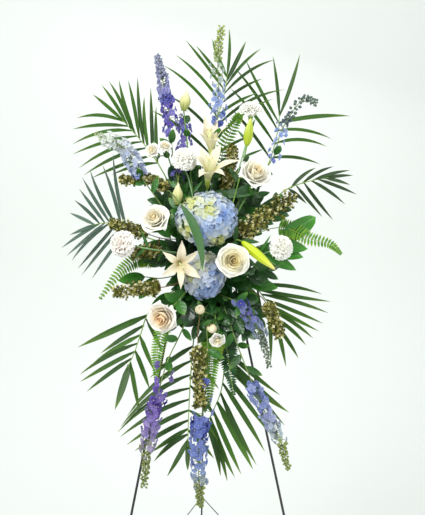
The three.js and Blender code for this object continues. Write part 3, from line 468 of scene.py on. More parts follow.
class SPRAY_OT_stage(bpy.types.Operator):
    """Sets the pale floor, the soft lights and the camera"""
    bl_idname = "spray.stage"
    bl_label = "Stage"

    def execute(self, context):
        scene = context.scene
        floor = bmesh.new()
        bmesh.ops.create_grid(floor, x_segments=2, y_segments=48, size=1)
        for vert in floor.verts:
            run = (vert.co.y + 1) * FLOOR_RUN
            turn = min(max((run - FLOOR_STRAIGHT) / FLOOR_BEND, 0), pi / 2)
            rise = max(run - FLOOR_STRAIGHT - FLOOR_BEND * pi / 2, 0)
            back = FLOOR_FRONT + min(run, FLOOR_STRAIGHT) + FLOOR_BEND * sin(turn)
            vert.co = vert.co.x * sizes().stage, back, FLOOR_BEND * (1 - cos(turn)) + rise
        mesh = as_mesh(floor, "studio_floor")
        mesh.shade_smooth()
        stage = put("studio_floor", mesh)
        # Studio paper: matt, and clear from behind so that the back of the spray can be looked at
        look = Look("pale_studio_paper", 0.9, 0.1)
        look.paint("#d6d9d6")
        share = look.mix_in(look.add("BsdfTransparent"))
        look.give(share, look.add("NewGeometry").outputs["Backfacing"])
        mesh.materials.append(look.material)
        lens = bpy.data.cameras.new("camera")
        lens.sensor_fit = "HORIZONTAL"
        lens.sensor_width = 36
        lens.lens = CAMERA_LENS
        lens.clip_end = 50
        back = Vector((sin(CAMERA_AZIMUTH), -cos(CAMERA_AZIMUTH), 0))
        scene.camera = put("camera", lens, CAMERA_TARGET + CAMERA_DISTANCE * back, CAMERA_TARGET)
        for name, place, power, size, aim in LAMPS:
            lamp = bpy.data.lights.new(name, "AREA")
            lamp.energy = power
            lamp.size = size
            put(name, lamp, place, aim)
        world = bpy.data.worlds.new("soft_room")
        world.use_nodes = True
        room = world.node_tree.nodes["Background"].inputs
        room["Color"].default_value = (*linear(ROOM_COLOUR), 1)
        room["Strength"].default_value = ROOM_LIGHT
        scene.world = world
        scene.view_settings.view_transform = "Standard"
        return {"FINISHED"}


class SPRAY_OT_easel(bpy.types.Operator):
    """Finishes the easel's wire, the tray and the foam that stay from the CAD"""
    bl_idname = "spray.easel"
    bl_label = "Easel, tray and foam"

    def execute(self, context):
        # Powder-coated steel wire: charcoal, a soft gloss with fine orange peel
        wire = mottled_material("powder_coated_steel_wire", "#0b0d0f", "#15181b", patch=9, grain=1.2,
                                rise=0.06, roughness=0.38, coat=0.2)
        # Moulded polypropylene: dark green, satin, faint flow marks
        tray = mottled_material("moulded_polypropylene", "#183f25", "#215232", patch=25, grain=1.5,
                                rise=0.08, roughness=0.45)
        # Wet phenolic foam: open cells, drawn 2.5 mm across so that they show, each darker towards its sunken
        # middle as painted shade in the pit
        foam = Look("wet_phenolic_foam", 0.85, 0.25)
        cells = foam.add("TexVoronoi", Vector=foam.place(), Scale=400.0).outputs["Distance"]
        foam.paint(foam.ramp(cells, {0: "#0c2b18", 0.5: "#1d5230", 1: "#2d6b40"}))
        foam.raise_by(cells, 0.8)
        finishes = {"easel": wire, "foam_tray": tray, "foam_block": foam.material}
        for start, finish in finishes.items():
            for node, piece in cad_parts.items():
                if node.startswith(start):
                    for slot in piece.material_slots:
                        slot.material = finish
        return {"FINISHED"}


# How far a rib stands forward of its leaflets, in millimetres
RIB_LIFT = 0.7


class Rib:
    """The rib of a frond: a flat path given right and up, in its layer, and its stem into the foam."""

    def __init__(self, foot, rib, layer):
        self.layer = layer
        self.flat = Path([(x, y, 0) for x, y in rib])
        feet = [(*f, layer) if len(f) == 2 else f for f in foot]
        self.stem = stem_path([*feet, *[(x, y, layer + RIB_LIFT) for x, y in rib]])

    def leaflet(self, piece, t, tip, half, bow=0.0, droop=0.0, along=9, thick=0.0006):
        """A pointed blade folded along its midrib, from the rib to its tip, in flat millimetres."""
        root = self.flat.at(t)
        flow = tip - root
        across = Vector((-flow.y, flow.x, 0)).normalized()
        lift = piece.between(-3, 3)
        twist = piece.between(-0.5, 0.5)
        bend = piece.between(-0.04, 0.04) * flow.length

        def surface(u, w):
            middle = root + flow * w + across * bend * 4 * w * (1 - w)
            middle.y += abs(flow.x) * bow * 4 * w * (1 - w)
            width = half * (0.35 + 0.65 * bump(w, 0, 0.25)) * (1 - max(0, (w - 0.5) / 0.5) ** 1.7) + 0.15
            fold = 0.45 * width * abs(u)
            roll = twist * u * width
            point = middle + across * u * width + Vector((0, 0, fold + roll + lift * w - droop * w * w))
            return seen(point.x, point.y, self.layer + point.z)
        piece.sheet(surface, 2, along, thick)


# Each palm frond: its leaf, layer (mm forward), foot in the foam, rib, the tips of the leaflets on either
# side with their share of the width, the leaflets' width and how far they arch
PALMS = (
    ("palm_upper_left", "palm", 22, [(-38, 70), (-48, 97)], [(-124, 247), (-160, 299), (-194, 338), (-222,
     369)], ([(-134, 406), (-148, 452), (-165, 429), (-182, 478), (-207, 473), (-230, 471), (-256, 468),
     (-275, 458), (-298, 434)], [(-250, 225), (-303, 216), (-321, 224), (-334, 242), (-350, 278), (-350, 304),
     (-350, 343), (-339, 372)]), 1.0, 0.12),
    ("palm_left", "palm_grey", 36, [(-40, 25), (-67, 35)], [(-201, 78), (-253, 101), (-300, 96)], ([(-245,
     280), (-272, 250), (-305, 238), (-325, 220), (-333, 190), (-345, 160), (-357, 127)], [(-300, -44), (-326,
     -34), (-337, -18), (-352, 3), (-365, 16), (-378, 36), (-357, 70)]), 0.95, 0.05),
    ("palm_lower_left", "palm", 22, [(-42, -45), (-67, -60)], [(-150, -125), (-173, -185), (-190, -235),
     (-207, -273)], ([(-337, -221, 1.5), (-277, -236), (-295, -260), (-331, -291), (-329, -309), (-313, -335),
     (-240, -382, 1.6)], [(-118, -235), (-139, -281), (-150, -330), (-176, -390)]), 1.2, 0.05),
    ("palm_bottom_left", "palm", 36, [(-20, -90), (-24, -117)], [(-36, -200), (-46, -333), (-50, -430), (-51,
     -480)], ([(-150, -300), (-209, -400), (-225, -426), (-232, -440), (-228, -454), (-209, -473), (-189,
     -489), (-147, -494), (-139, -517), (-105, -556), (-51, -541)], [(30, -330), (24, -410), (27, -463), (17,
     -510), (-14, -541)]), 1.3, 0.12),
    ("palm_bottom_right", "palm", 22, [(12, -90), (16, -117)], [(44, -215), (44, -270), (34, -340), (8, -400),
     (-4, -425)], ([(191, -348), (214, -393, 1.6), (202, -426), (165, -450), (150, -494), (128, -528), (119,
     -540, 1.4), (88, -552), (71, -560), (52, -570), (34, -556)],), 1.35, 0.0),
    ("palm_right_lower", "palm", 36, [(42, -20), (67, -32)], [(118, -55), (142, -86), (170, -125), (183,
     -177)], ([(300, -84), (321, -103), (316, -133), (303, -161), (292, -181), (277, -200), (258, -218), (238,
     -252)], [(140, -235), (165, -262), (205, -272)]), 1.1, 0.03),
    ("palm_right", "palm_dark", 50, [(42, 50), (67, 60)], [(202, 187), (262, 210), (316, 221)], ([(282, 246),
     (330, 250), (373, 240), (381, 227)], [(259, 152), (300, 118), (329, 109), (360, 151), (391, 177), (373,
     202)]), 0.95, 0.08),
    ("palm_right_upper", "palm", 22, [(35, 70), (45, 97), (130, 215)], [(157, 252), (183, 343), (188, 390)],
     ([(295, 255), (311, 302), (324, 322), (373, 382, 1.4), (241, 543, 1.2)], [(60, 400), (56, 455), (69,
     507), (98, 528), (170, 538)]), 0.9, 0.11),
    ("palm_top", "palm", 36, [(3, 70), (5, 97)], [(8, 250), (25, 369), (46, 450), (51, 489)], ([(-147, 393),
     (-103, 432), (-118, 512), (-84, 538), (-58, 577), (-30, 562), (12, 580, 1.4)], [(120, 330), (173, 426),
     (202, 450), (129, 440), (144, 478), (176, 528), (139, 556), (100, 575, 1.4), (56, 608)]), 0.85, 0.12),
)


class SPRAY_OT_palms(bpy.types.Operator):
    """Makes the palm fronds, each leaflet folded along its midrib"""
    bl_idname = "spray.palms"
    bl_label = "Palm fronds"

    def execute(self, context):
        # Living palm leaf: waxy, finely ribbed lengthwise, some leaflets yellower than others
        finishes = {
            "palm": leaf_material("fresh_palm_leaf", "#22480c", colour_of("palm"), "#7ea23a", ribs=20.0,
                                  coat=0.1),
            "palm_grey": leaf_material("grey_palm_leaf", "#3f5a48", "#6f8a78", "#8fa08a", ribs=20.0),
            "palm_dark": leaf_material("dark_palm_leaf", "#253d1c", "#45603a", "#5e754e", ribs=20.0),
        }
        stalk = mottled_material("palm_rib", "#5f8a24", "#8aa848")
        for piece, name, kind, layer, foot, rib, sides, broad, bow in pieces(PALMS, seed=100):
            rachis = Rib(foot, rib, layer)
            piece.stem(rachis.stem, 2.6, 1.0, 26, 1)
            for tips in sides:
                for i, (right, up, *width) in enumerate(tips):
                    half = sizes().leaflet / MM * broad * (width[0] if width else 1)
                    rachis.leaflet(piece, (i + 0.5) / len(tips), Vector((right, up, 0)), half, bow * 0.6)
            piece.finish(name + "_frond", name, [finishes[kind], stalk])
        return {"FINISHED"}


# Each fern: its leaf, layer (mm forward), foot in the foam, rib, and its leaflets' length, half width and
# spacing
FERNS = (
    ("fern_left", "fern", 72, [(-40, 0, 66), (-67, -2, 68)], [(-140, 10), (-175, 10), (-227, -26), (-279,
     -96)], 24, 2.5, 6.6),
    ("fern_right", "fern", 72, [(40, 30, 66), (67, 38, 68), (130, 75, 71)], [(185, 90), (220, 84), (264, 62),
     (321, 47), (350, 21)], 22, 2.8, 6.6),
    ("fern_bottom", "fern", 86, [(0, -85, 66), (4, -117, 72)], [(14, -178), (12, -240), (4, -372)], 31, 2.9,
     4.9),
    ("fern_bottom_right", "fern_dark", 64, [(28, -85, 58), (32, -117, 60)], [(43, -180), (52, -240), (69,
     -346)], 32, 2.9, 4.9),
    ("fern_lower_left", "fern", 72, [(-44, -85, 60), (-62, -117, 62)], [(-115, -170), (-131, -240), (-134,
     -307)], 18, 2.5, 6.6),
    ("fern_top", "fern", 72, [(18, 68, 66), (20, 97, 68)], [(30, 200), (40, 289), (74, 367), (90, 390)], 22,
     2.8, 6.6),
)


class SPRAY_OT_ferns(bpy.types.Operator):
    """Makes the sword ferns with their close pairs of leaflets"""
    bl_idname = "spray.ferns"
    bl_label = "Ferns"

    def execute(self, context):
        # Sword fern: thin, matt and bright, yellower at the tips
        finishes = {
            "fern": leaf_material("sword_fern", "#3a7a0a", "#6da015", "#b6cc3c", 0.55),
            "fern_dark": leaf_material("shaded_sword_fern", "#12381a", "#2f6a30", "#4d8038", 0.55),
        }
        stalk = mottled_material("fern_rib", "#5c7d1e", "#8fa238")
        for piece, name, kind, layer, foot, rib, reach, half, spacing in pieces(FERNS, seed=200):
            rachis = Rib(foot, rib, layer)
            piece.stem(rachis.stem, 1.7, 0.8, 26, 1)
            for _, t, root, along in rachis.flat.steps(0, 1, int(rachis.flat.length() / spacing)):
                size = reach * (1 - t ** 1.6) + 5
                for side in (-1, 1):
                    out = Vector((-along.y, along.x, 0)) * side
                    tip = root + out * size + along * (0.22 * size + 1)
                    rachis.leaflet(piece, t, tip, half, droop=3, along=4, thick=0.0004)
            piece.finish(name + "_frond", name, [finishes[kind], stalk])
        return {"FINISHED"}


def broad_leaf(piece, root, tip, half, arch=10, blunt=0.75, bow=0, material=0, grid=(6, 10)):
    """An oval leaf with a creased midrib, arched forward and bowed to a side on its way to the tip."""
    across = (tip - root).cross(FORWARD).normalized()
    middle = (root + tip) / 2 + (FORWARD * arch + across * bow) * MM
    wave = piece.between(0, 6)
    cup = piece.between(0.1, 0.4)
    roll = piece.between(-0.4, 0.4)

    def surface(u, w):
        width = half * MM * swell(w ** 0.85, 0, 1, blunt) if 0 < w < 1 else 0
        width += 0.9 * MM * (1 - w)
        lift = width * (cup * abs(u) + roll * u) + 0.06 * width * sin(9 * w + wave) * u * u
        return bowed(w, root, middle, tip) + across * u * width + FORWARD * lift
    piece.sheet(surface, *grid, material=material)


def stem_leaves(piece, path, start, end, count, length, half, material=3):
    """Leaves along a stem between two shares of it, by turns on either side."""
    for i in range(count):
        t = start + (end - start) * (i + piece.draw.random()) / count
        along, root = path.along(t), path.at(t)
        aim = (along * piece.between(0.5, 1.0) + around(along, i * GOLDEN_ANGLE)).normalized()
        broad_leaf(piece, root, root + aim * length * piece.between(0.7, 1.1) * MM,
                   half * piece.between(0.8, 1.1), piece.between(0, 8), material=material, grid=(4, 7))


def sprig(piece, points, material):
    """A short leafy stem out of the foam, its leaves by turns left and right up to the one at its tip."""
    path = piece.stem(points, 1.4, 0.8, 10, 1)
    leaves = int(path.length() / MM / 9)
    for i in range(leaves):
        t = 0.3 + 0.7 * i / (leaves - 1)
        along, root = path.along(t), path.at(t)
        side = along.cross(FORWARD).normalized() * (-1 if i % 2 else 1)
        lean = 0.0 if i == leaves - 1 else piece.between(0.8, 1.5)
        aim = (along + side * lean + FORWARD * piece.between(-0.2, 0.7)).normalized()
        broad_leaf(piece, root, root + aim * piece.between(34, 50) * MM, piece.between(8, 12),
                   piece.between(0, 8), material=material, grid=(4, 7))


# The ring of sprigs in the foam, in millimetres: its half width, half height and middle
BUSH_WIDTH, BUSH_HEIGHT, BUSH_MIDDLE = 58, 96, -8


def bush(piece, low, high, count, material):
    """Short leafy sprigs pushed into the foam all round, from one angle to another (degrees)."""
    for i in range(count):
        angle = radians(low + (high - low) * (i + piece.draw.random()) / count)
        out = Vector((cos(angle), sin(angle), 0))
        side = Vector((-out.y, out.x, 0))
        ring = piece.between(0.35, 0.95)
        start = Vector((out.x * BUSH_WIDTH * ring, BUSH_MIDDLE + out.y * BUSH_HEIGHT * ring,
                        piece.between(60, 74)))
        span = piece.between(52, 92)
        rise = radians(piece.between(12, 62) * (1.25 - ring * 0.7))
        end = start + (out + side * piece.between(-0.55, 0.55)).normalized() * span * cos(rise)
        end.z += span * sin(rise)
        broad_leaf(piece, seen(*start), seen(*end), piece.between(11, 17), piece.between(2, 14),
                   material=material)


# Each group of leaves: its stems; side stems by the stem they leave, where, and their points; leaves by stem,
# where, tip, half width and form; the angles and number of the leaves round the foam; and its sprigs
LEAFY = (
    ("salal_right", [[(40, 8, 58), (67, 14, 58), (130, 40, 60), (199, 60, 62)]], ((0, 0.35, ((96, 66, 58),
     (106, 108, 60))), (0, 0.35, ((92, -26, 58), (104, -66, 60)))), ((0, 0.98, (283, 118, 62), 24, 10, 0.5),
     (0, 0.8, (262, 34, 64), 20), (0, 0.7, (251, 12, 58), 20), (0, 0.62, (232, -22, 54), 18), (1, 0.98, (131,
     190, 62), 19, 4), (1, 0.8, (196, 178, 58), 18, 4), (1, 0.6, (72, 150, 60), 16, 4), (2, 0.98, (126, -132,
     60), 18, 4), (2, 0.8, (184, -68, 58), 17, 4), (2, 0.7, (84, -136, 60), 16, 4)), (-65, 75, 44), (((30, 60,
     66), (60, 150, 84), (78, 215, 92)), ((40, 30, 66), (90, 110, 80), (118, 175, 84)), ((34, -70, 66), (56,
     -120, 84), (76, -156, 88)), ((16, -84, 70), (24, -130, 90), (34, -168, 96)), ((40, -20, 66), (100, -36,
     76), (150, -20, 80)), ((24, -78, 64), (56, -112, 74), (86, -166, 76)), ((44, -50, 62), (88, -92, 66),
     (128, -142, 66)), ((60, 50, 60), (122, 96, 62), (190, 146, 62)), ((40, -64, 60), (74, -120, 64), (108,
     -176, 66)))),
    ("salal_left", [[(-40, -22, 58), (-67, -30, 58), (-120, -42, 60), (-165, -38, 62)]], ((0, 0.35, ((-90, 30,
     58), (-100, 84, 60))), (0, 0.35, ((-88, -70, 58), (-92, -98, 60)))), ((0, 0.98, (-232, -48, 62), 16), (0,
     0.8, (-178, -96, 64), 15), (1, 0.98, (-72, 160, 60), 17, 4), (1, 0.8, (-160, 142, 58), 18, 4), (1, 0.5,
     (-152, 52, 58), 17, 4), (2, 0.98, (-82, -172, 60), 17, 4), (2, 0.7, (-150, -124, 58), 16, 4)), (115, 245,
     40), (((-30, 60, 66), (-60, 150, 84), (-84, 205, 90)), ((-40, 30, 66), (-88, 110, 76), (-120, 160, 80)),
     ((-34, -70, 66), (-58, -120, 80), (-80, -150, 84)), ((-10, -84, 70), (-18, -130, 90), (-26, -160, 96)),
     ((-40, 0, 66), (-96, 10, 74), (-140, 20, 76)))),
    ("leaf_dark", [[(-24, -84, 74), (-29, -104, 102), (-44, -114, 112)]], (), ((0, 0.98, (-60, -165, 112),
     17), (0, 0.6, (-18, -165, 92), 13)), (240, 300, 22), (((4, -84, 70), (2, -120, 84), (4, -150, 90)), ((14,
     -84, 62), (20, -150, 60), (26, -220, 58)))),
    ("leaf_front", [[(-44, 66, 70), (-56, 84, 96), (-94, 156, 112), (-104, 186, 168), (-90, 176, 214), (-66,
     148, 228)]], (), ((0, 0.98, (-12, -20, 232), 11, 22, 0.75, -30),), (70, 120, 18), (((0, 70, 70), (-14,
     150, 90), (-24, 215, 96)), ((14, 70, 70), (30, 150, 90), (36, 225, 96)), ((-14, 70, 68), (-40, 170, 84),
     (-58, 240, 90)))),
)


class SPRAY_OT_leaves(bpy.types.Operator):
    """Makes the broad salal leaves, the long blade in front and the leafy sprigs round the foam"""
    bl_idname = "spray.leaves"
    bl_label = "Broad leaves"

    def execute(self, context):
        # Salal: leathery, glossy, a pale midrib and side veins about 6 mm apart
        salal = leaf_material("salal_leaf", "#1f5c10", "#38870a", "#4d9a22", 0.3, veins=34, coat=0.25)
        # The two darker greens below are painted shade: the first for the leaves round the foam and the dark
        # leaf deep in the spray, the second for the sprig leaves, their green darkened with painted shade
        shaded = leaf_material("shaded_salal_leaf", "#08200e", "#22561a", "#2c6424", 0.36, veins=34,
                               coat=0.2)
        shaded_sprig = leaf_material("young_leaf", "#0e2c0e", "#2c6420", "#447c30", 0.38, veins=24, coat=0.1)
        stalk = mottled_material("leafy_stem", "#3f5c24", "#5f7a38")
        kinds = {"leaf_dark": shaded, "leaf_front": stem_leaf_material("lily_stem_leaf")}
        for piece, name, stems, sides, leaves, ring, sprigs in pieces(LEAFY, seed=300):
            paths = [piece.stem(points, 2.0, 1.5, 16, 1) for points in stems]
            for on, t, points in sides:
                path = Path([paths[on].at(t * 0.9), *[seen(*p) for p in points]])
                paths.append(piece.stem(path, 2.0, 1.5, 16, 1))
            for on, t, tip, half, *form in leaves:
                broad_leaf(piece, paths[on].at(t), seen(*tip), half, *form)
            # The leaves round the foam and the sprigs take the greens darkened with painted shade
            bush(piece, *ring, 2)
            for points in sprigs:
                sprig(piece, points, 3)
            piece.finish(name + "_leaves", name, [kinds.get(name, salal), stalk, shaded, shaded_sprig])
        return {"FINISHED"}


# Each filler: its stems, and its spikes by stem, where they start and how far their twigs reach
FILLERS = (
    ("filler_right", ([(46, 46, 70), (66, 56, 96), (95, 76, 126), (222, 172, 126)],), ((0, 0.6, 30),)),
    ("filler_left", ([(-46, 50, 66), (-66, 58, 84), (-120, 62, 112), (-170, 78, 118), (-251, 101, 112)],
     [(-125, 64, 112), (-130, 40, 106), (-160, 30, 108), (-195, 22, 106)]), ((0, 0.66, 19), (1, 0.25, 22))),
    ("filler_left_low", ([(-46, -40, 76), (-66, -50, 100), (-110, -64, 120), (-150, -66, 118), (-240, -80,
     112)],), ((0, 0.56, 23),)),
    ("filler_bottom", ([(-14, -88, 70), (-16, -117, 96), (-25, -185, 122), (-22, -265, 126), (-20, -374,
     122)],), ((0, 0.6, 21),)),
    ("filler_right_low", ([(44, -44, 66), (64, -54, 84), (140, -90, 112), (165, -130, 116), (190, -192,
     112)],), ((0, 0.6, 20),)),
    ("filler_top", ([(22, 74, 76), (30, 97, 96), (45, 180, 112), (56, 235, 116), (66, 300, 112)],), ((0, 0.5,
     18),)),
    ("filler_upper_left", ([(-46, 72, 60), (-71, 97, 78), (-100, 175, 104), (-140, 212, 108), (-225, 212,
     104)],), ((0, 0.55, 16),)),
)


def tiny_floret():
    """A template of a small four-lobed floret on its tube, one unit in size."""
    piece = Piece()
    rows = ((0.0, 0.0), (0.25, 0.2), (0.62, 0.5), (0.42, 0.0))
    piece.turn(Vector((0, 0, 0)), UP, lambda t: rows[round(t * 3)], 8, 3, ribs=4, depth=0.42)
    return piece.template()


class SPRAY_OT_fillers(bpy.types.Operator):
    """Makes the filler spikes of tiny gold and cream florets"""
    bl_idname = "spray.fillers"
    bl_label = "Filler spikes"

    def execute(self, context):
        # Dried-looking filler: matt cream and gold florets on olive-brown twigs
        tones = {0: "#34400c", 0.35: "#5e6c1a", 0.6: "#979634", 0.8: "#dcd488", 1: "#fbf8dc"}
        floret = petal_material("filler_floret", tones, "#dcd694", by="chance", roughness=0.8, sheen=0)
        twig = mottled_material("filler_twig", "#4d331c", "#7a5a2c")
        template = tiny_floret()
        for piece, name, stems, spikes in pieces(FILLERS, seed=400):
            paths = [piece.stem(points, 1.9, 1.0, 20, 1) for points in stems]
            for on, start, reach in spikes:
                twigs = int(paths[on].length() * (1 - start) / MM / 1.2)
                for i, t, root, along in paths[on].steps(start, 1, twigs):
                    out = around(along, i * GOLDEN_ANGLE)
                    share = (t - start) / (1 - start)
                    size = reach * MM * (1 - 0.35 * share ** 4) * piece.between(0.5, 1.15)
                    end = root + (out + along * 0.5).normalized() * size
                    piece.twig([root, (root + end) / 2 + along * 0.001, end], 0.0005, rows=4, material=1)
                    for k in range(6):
                        place = root.lerp(end, 0.3 + 0.14 * k)
                        axis = out + around(along, i * GOLDEN_ANGLE + k * 2.2) * 0.9 + along * 0.3
                        stand = turned(place, axis.normalized(), k * 1.1, piece.between(5.5, 8.5) * MM)
                        piece.stamp(template, stand, share)
            piece.finish(name + "_spike", name, [floret, twig])
        bpy.data.meshes.remove(template)
        return {"FINISHED"}


def open_floret(turns, scales, sepal, heights, centre, eye):
    """A template one unit in radius: rounded, cupped sepals round an eye.

    sepal gives a sepal's foot, half width, the wave of its width and the rounding of its end. heights give
    its rise, the cup of its sides, the droop of its end and the step to the next. eye gives the height and
    the swell of the eye."""
    piece = Piece()
    foot, half, entry, gain, power, rounding = sepal
    rise, cup, droop, step = heights
    for i, (turn, size) in enumerate(zip(turns, scales)):
        def surface(u, w):
            x = size * (foot + 0.92 * w) * (1 - rounding * u * u * w)
            y = u * (half * size * swell(w, entry, gain, power))
            z = rise * w + cup * u * u * w - droop * w ** 3 + step * (i % 2)
            return Vector((x * cos(turn) - y * sin(turn), x * sin(turn) + y * cos(turn), z))
        piece.sheet(surface, 2, 3, 0)
    piece.turn(Vector((0, 0, centre)), UP, lambda t: (eye[0] * t, 0.11 * swell(t, 0, 1, eye[1])), 5, 3, 1)
    return piece.template()


def closed_bud():
    """A pointed oval bud one unit long with a small foot."""
    piece = Piece()
    piece.turn(Vector((0, 0, 0)), UP, lambda t: (t, 0.4 * swell(t ** 0.8, 0, 1, 0.8)), 6, 4)
    return piece.template()


# Each delphinium: its colours, its stems, and its spikes by stem, where florets start and end, floret size,
# the buds' share of it (0 for none), the spacing of florets and of buds, and how far open florets go through
# the colours
DELPHINIUMS = (
    ("delphinium_top_left", "lilac", ([(-32, 74, 72), (-40, 97, 94), (-82, 230, 120), (-95, 320, 126), (-103,
     411, 128), (-111, 439, 128), (-118, 481, 126), (-131, 536, 120)], [(-76, 212, 116), (-72, 250, 108),
     (-58, 330, 110), (-69, 385, 108)]), ((0, 0.44, 0.84, 15.5, 1.15, 3.0, 1.6), (1, 0.04, 0.9, 15, 0.8, 3.4,
     2, 0.3))),
    ("delphinium_top", "sky", ([(6, 76, 78), (8, 97, 98), (12, 240, 106), (25, 356, 124), (28, 440, 126), (27,
     540, 124), (36, 612, 116)],), ((0, 0.5, 0.8, 16.5, 1.0, 4.6, 2.2),)),
    ("delphinium_top_right", "slate", ([(40, 74, 76), (52, 97, 98), (100, 190, 112), (168, 265, 122), (191,
     338, 124), (212, 377, 124), (256, 429, 120), (284, 415, 112)],), ((0, 0.42, 0.64, 15, 1.1, 6, 3.4),)),
    ("delphinium_left", "pale", ([(-48, 64, 76), (-66, 76, 94), (-150, 190, 122), (-181, 234, 126), (-207,
     286, 126), (-240, 309, 124), (-290, 332, 118)],), ((0, 0.45, 0.9, 17, 0.8, 2.6, 2),)),
    ("delphinium_bottom_left", "violet", ([(-36, -86, 72), (-42, -117, 94), (-72, -190, 112), (-105, -260,
     122), (-131, -356, 128), (-147, -424, 128), (-155, -486, 124), (-165, -582, 116)],), ((0, 0.42, 0.56, 20,
     0, 11, 0, 0.2), (0, 0.56, 0.86, 17, 0.9, 2.1, 1.4))),
    ("delphinium_bottom", "deep", ([(-6, -88, 80), (-6, -117, 98), (2, -260, 106), (-12, -385, 112), (-22,
     -437, 122), (-22, -554, 124), (-17, -632, 118)],), ((0, 0.39, 0.58, 20, 0, 12, 0, 0.2), (0, 0.58, 0.86,
     18, 0.85, 2.1, 1.4))),
    ("delphinium_bottom_right", "mid", ([(36, -88, 72), (44, -117, 92), (80, -220, 104), (116, -312, 116),
     (150, -390, 120), (183, -447, 120), (212, -541, 114)],), ((0, 0.5, 0.87, 15.5, 0.95, 2.3, 1.4),)),
    ("delphinium_right_low", "ink", ([(24, -78, 78), (40, -88, 104), (84, -108, 140), (112, -146, 150), (136,
     -180, 144), (150, -215, 132), (160, -273, 122)],), ((0, 0.3, 0.7, 16, 0.9, 2.3, 1.8),)),
)

# From the open florets at the foot to the buds at the tip, and the colour that some florets lean to
SPIKE_COLOURS = {
    "lilac": ({0: "#4a5cc0", 0.15: "#4f35a0", 0.35: "#5f62c0", 0.5: "#8490cc", 0.65: "#a4aacc",
              0.8: "#9296b4", 1: "#b4b8cc"}, "#a79cd6"),
    "sky": ({0: "#3c4eb4", 0.2: "#6480c8", 0.45: "#9fb2da", 0.65: "#b0bc98", 1: "#b4c060"}, "#c4cfea"),
    "slate": ({0: "#4a5cb8", 0.3: "#86a0dc", 0.65: "#a3b6e0", 0.75: "#545f80", 0.9: "#6f8274", 1: "#7c9080"},
              "#c4d2f2"),
    "pale": ({0: "#7488cc", 0.25: "#b0bddc", 0.5: "#d0d7de", 0.8: "#ced7c6", 1: "#c8d4a8"}, "#eef1f2"),
    "violet": ({0: "#3d2590", 0.25: "#7a5cbc", 0.5: "#a294cc", 0.72: "#b0a8bc", 0.8: "#98a060", 1: "#8c9c4c"},
              "#c3aee4"),
    "deep": ({0: "#3646b0", 0.35: "#4c60b8", 0.6: "#7e90c2", 0.74: "#9aa8b8", 0.82: "#98a468", 1: "#94a250"},
              "#a8b8e4"),
    "mid": ({0: "#4a5eb8", 0.3: "#7f90c8", 0.55: "#a6a8c8", 0.74: "#a4b4a4", 0.82: "#9aa85c", 1: "#96a64a"},
              "#dce5ff"),
    "ink": ({0: "#2c36a0", 0.3: "#5a52b0", 0.6: "#8ea0cc", 0.8: "#8f9f96", 1: "#6a7a5a"}, "#aab6dc"),
}


class SPRAY_OT_delphiniums(bpy.types.Operator):
    """Makes the delphinium spikes, open florets below and buds to the tip"""
    bl_idname = "spray.delphiniums"
    bl_label = "Delphiniums"

    def execute(self, context):
        eye = petal_material("delphinium_eye", {0: "#e8e6d0", 1: "#fbfaf0"}, "#ffffff")
        stalk = mottled_material("delphinium_stalk", "#4f6a2c", "#7c8f4a")
        floret = open_floret([i * 2 * pi / 5 for i in range(5)], (1.0, 0.92, 1.05, 0.95, 0.9),
                             (0.08, 0.5, 0.1, 0.8, 0.7, 0.12), (0.42, 0.22, 0.34, 0.05), 0.05, (0.25, 0.7))
        bud = closed_bud()
        for piece, name, colours, stems, spikes in pieces(DELPHINIUMS, seed=500):
            # Delphinium sepal: thin and soft, its colour fading from the open florets to the green buds
            stops, lean = SPIKE_COLOURS[colours]
            petal = petal_material("delphinium_" + colours, stops, "#e6e8ff", 0.15, "spot",
                                   patches=(0.55, lean))
            paths = [piece.stem(points, 2.2, 0.9, 24, leaves=(0.16, 0.46, 5, 48, 9)) for points in stems]
            for on, start, closing, size, tip, spacing, bud_spacing, *fade in spikes:
                path = paths[on]
                span = path.length() / MM
                for i, t, root, along in path.steps(start, closing, int(span * (closing - start) / spacing)):
                    out = around(along, i * GOLDEN_ANGLE + piece.between(-0.3, 0.3))
                    axis = (out + around(along, piece.between(0, 6)) * 0.35 + along * 0.25).normalized()
                    share = (t - start) / (closing - start) * (fade[0] if fade else 0.8)
                    reach = size * piece.between(0.6, 0.86) * (1 - 0.35 * share)
                    place = root + axis * size * piece.between(0.5, 1.25) * MM
                    tone = share + piece.between(-0.12, 0.12)
                    stand = turned(place, axis, piece.between(0, 6), reach * MM)
                    stand = stand @ Matrix.Diagonal((1, piece.between(0.65, 1.0), piece.between(0.9, 1.5), 1))
                    piece.stamp(floret, stand, tone)
                    piece.twig([root, place - axis * 0.002], 0.0007, 4)
                buds = int(span * (1 - closing) / bud_spacing) if tip else 0
                for i in range(buds):
                    share = (i + 0.5) / buds
                    t = closing + (1 - closing) * share
                    along, root = path.along(t), path.at(t)
                    axis = (around(along, i * GOLDEN_ANGLE) + along * 0.5).normalized()
                    reach = size * tip * (0.85 - 0.3 * share) * piece.between(0.7, 1.0)
                    place = root + axis * reach * piece.between(0.1, 0.75) * MM
                    piece.twig([root, place + axis * 0.001], 0.0005)
                    piece.stamp(bud, turned(place, axis, 0, reach * MM),
                                0.8 + 0.2 * share + piece.between(-0.08, 0.08), 0)
            piece.finish(name + "_spike", name, [petal, eye, stalk, stem_leaf_material()])
        for template in (floret, bud):
            bpy.data.meshes.remove(template)
        return {"FINISHED"}


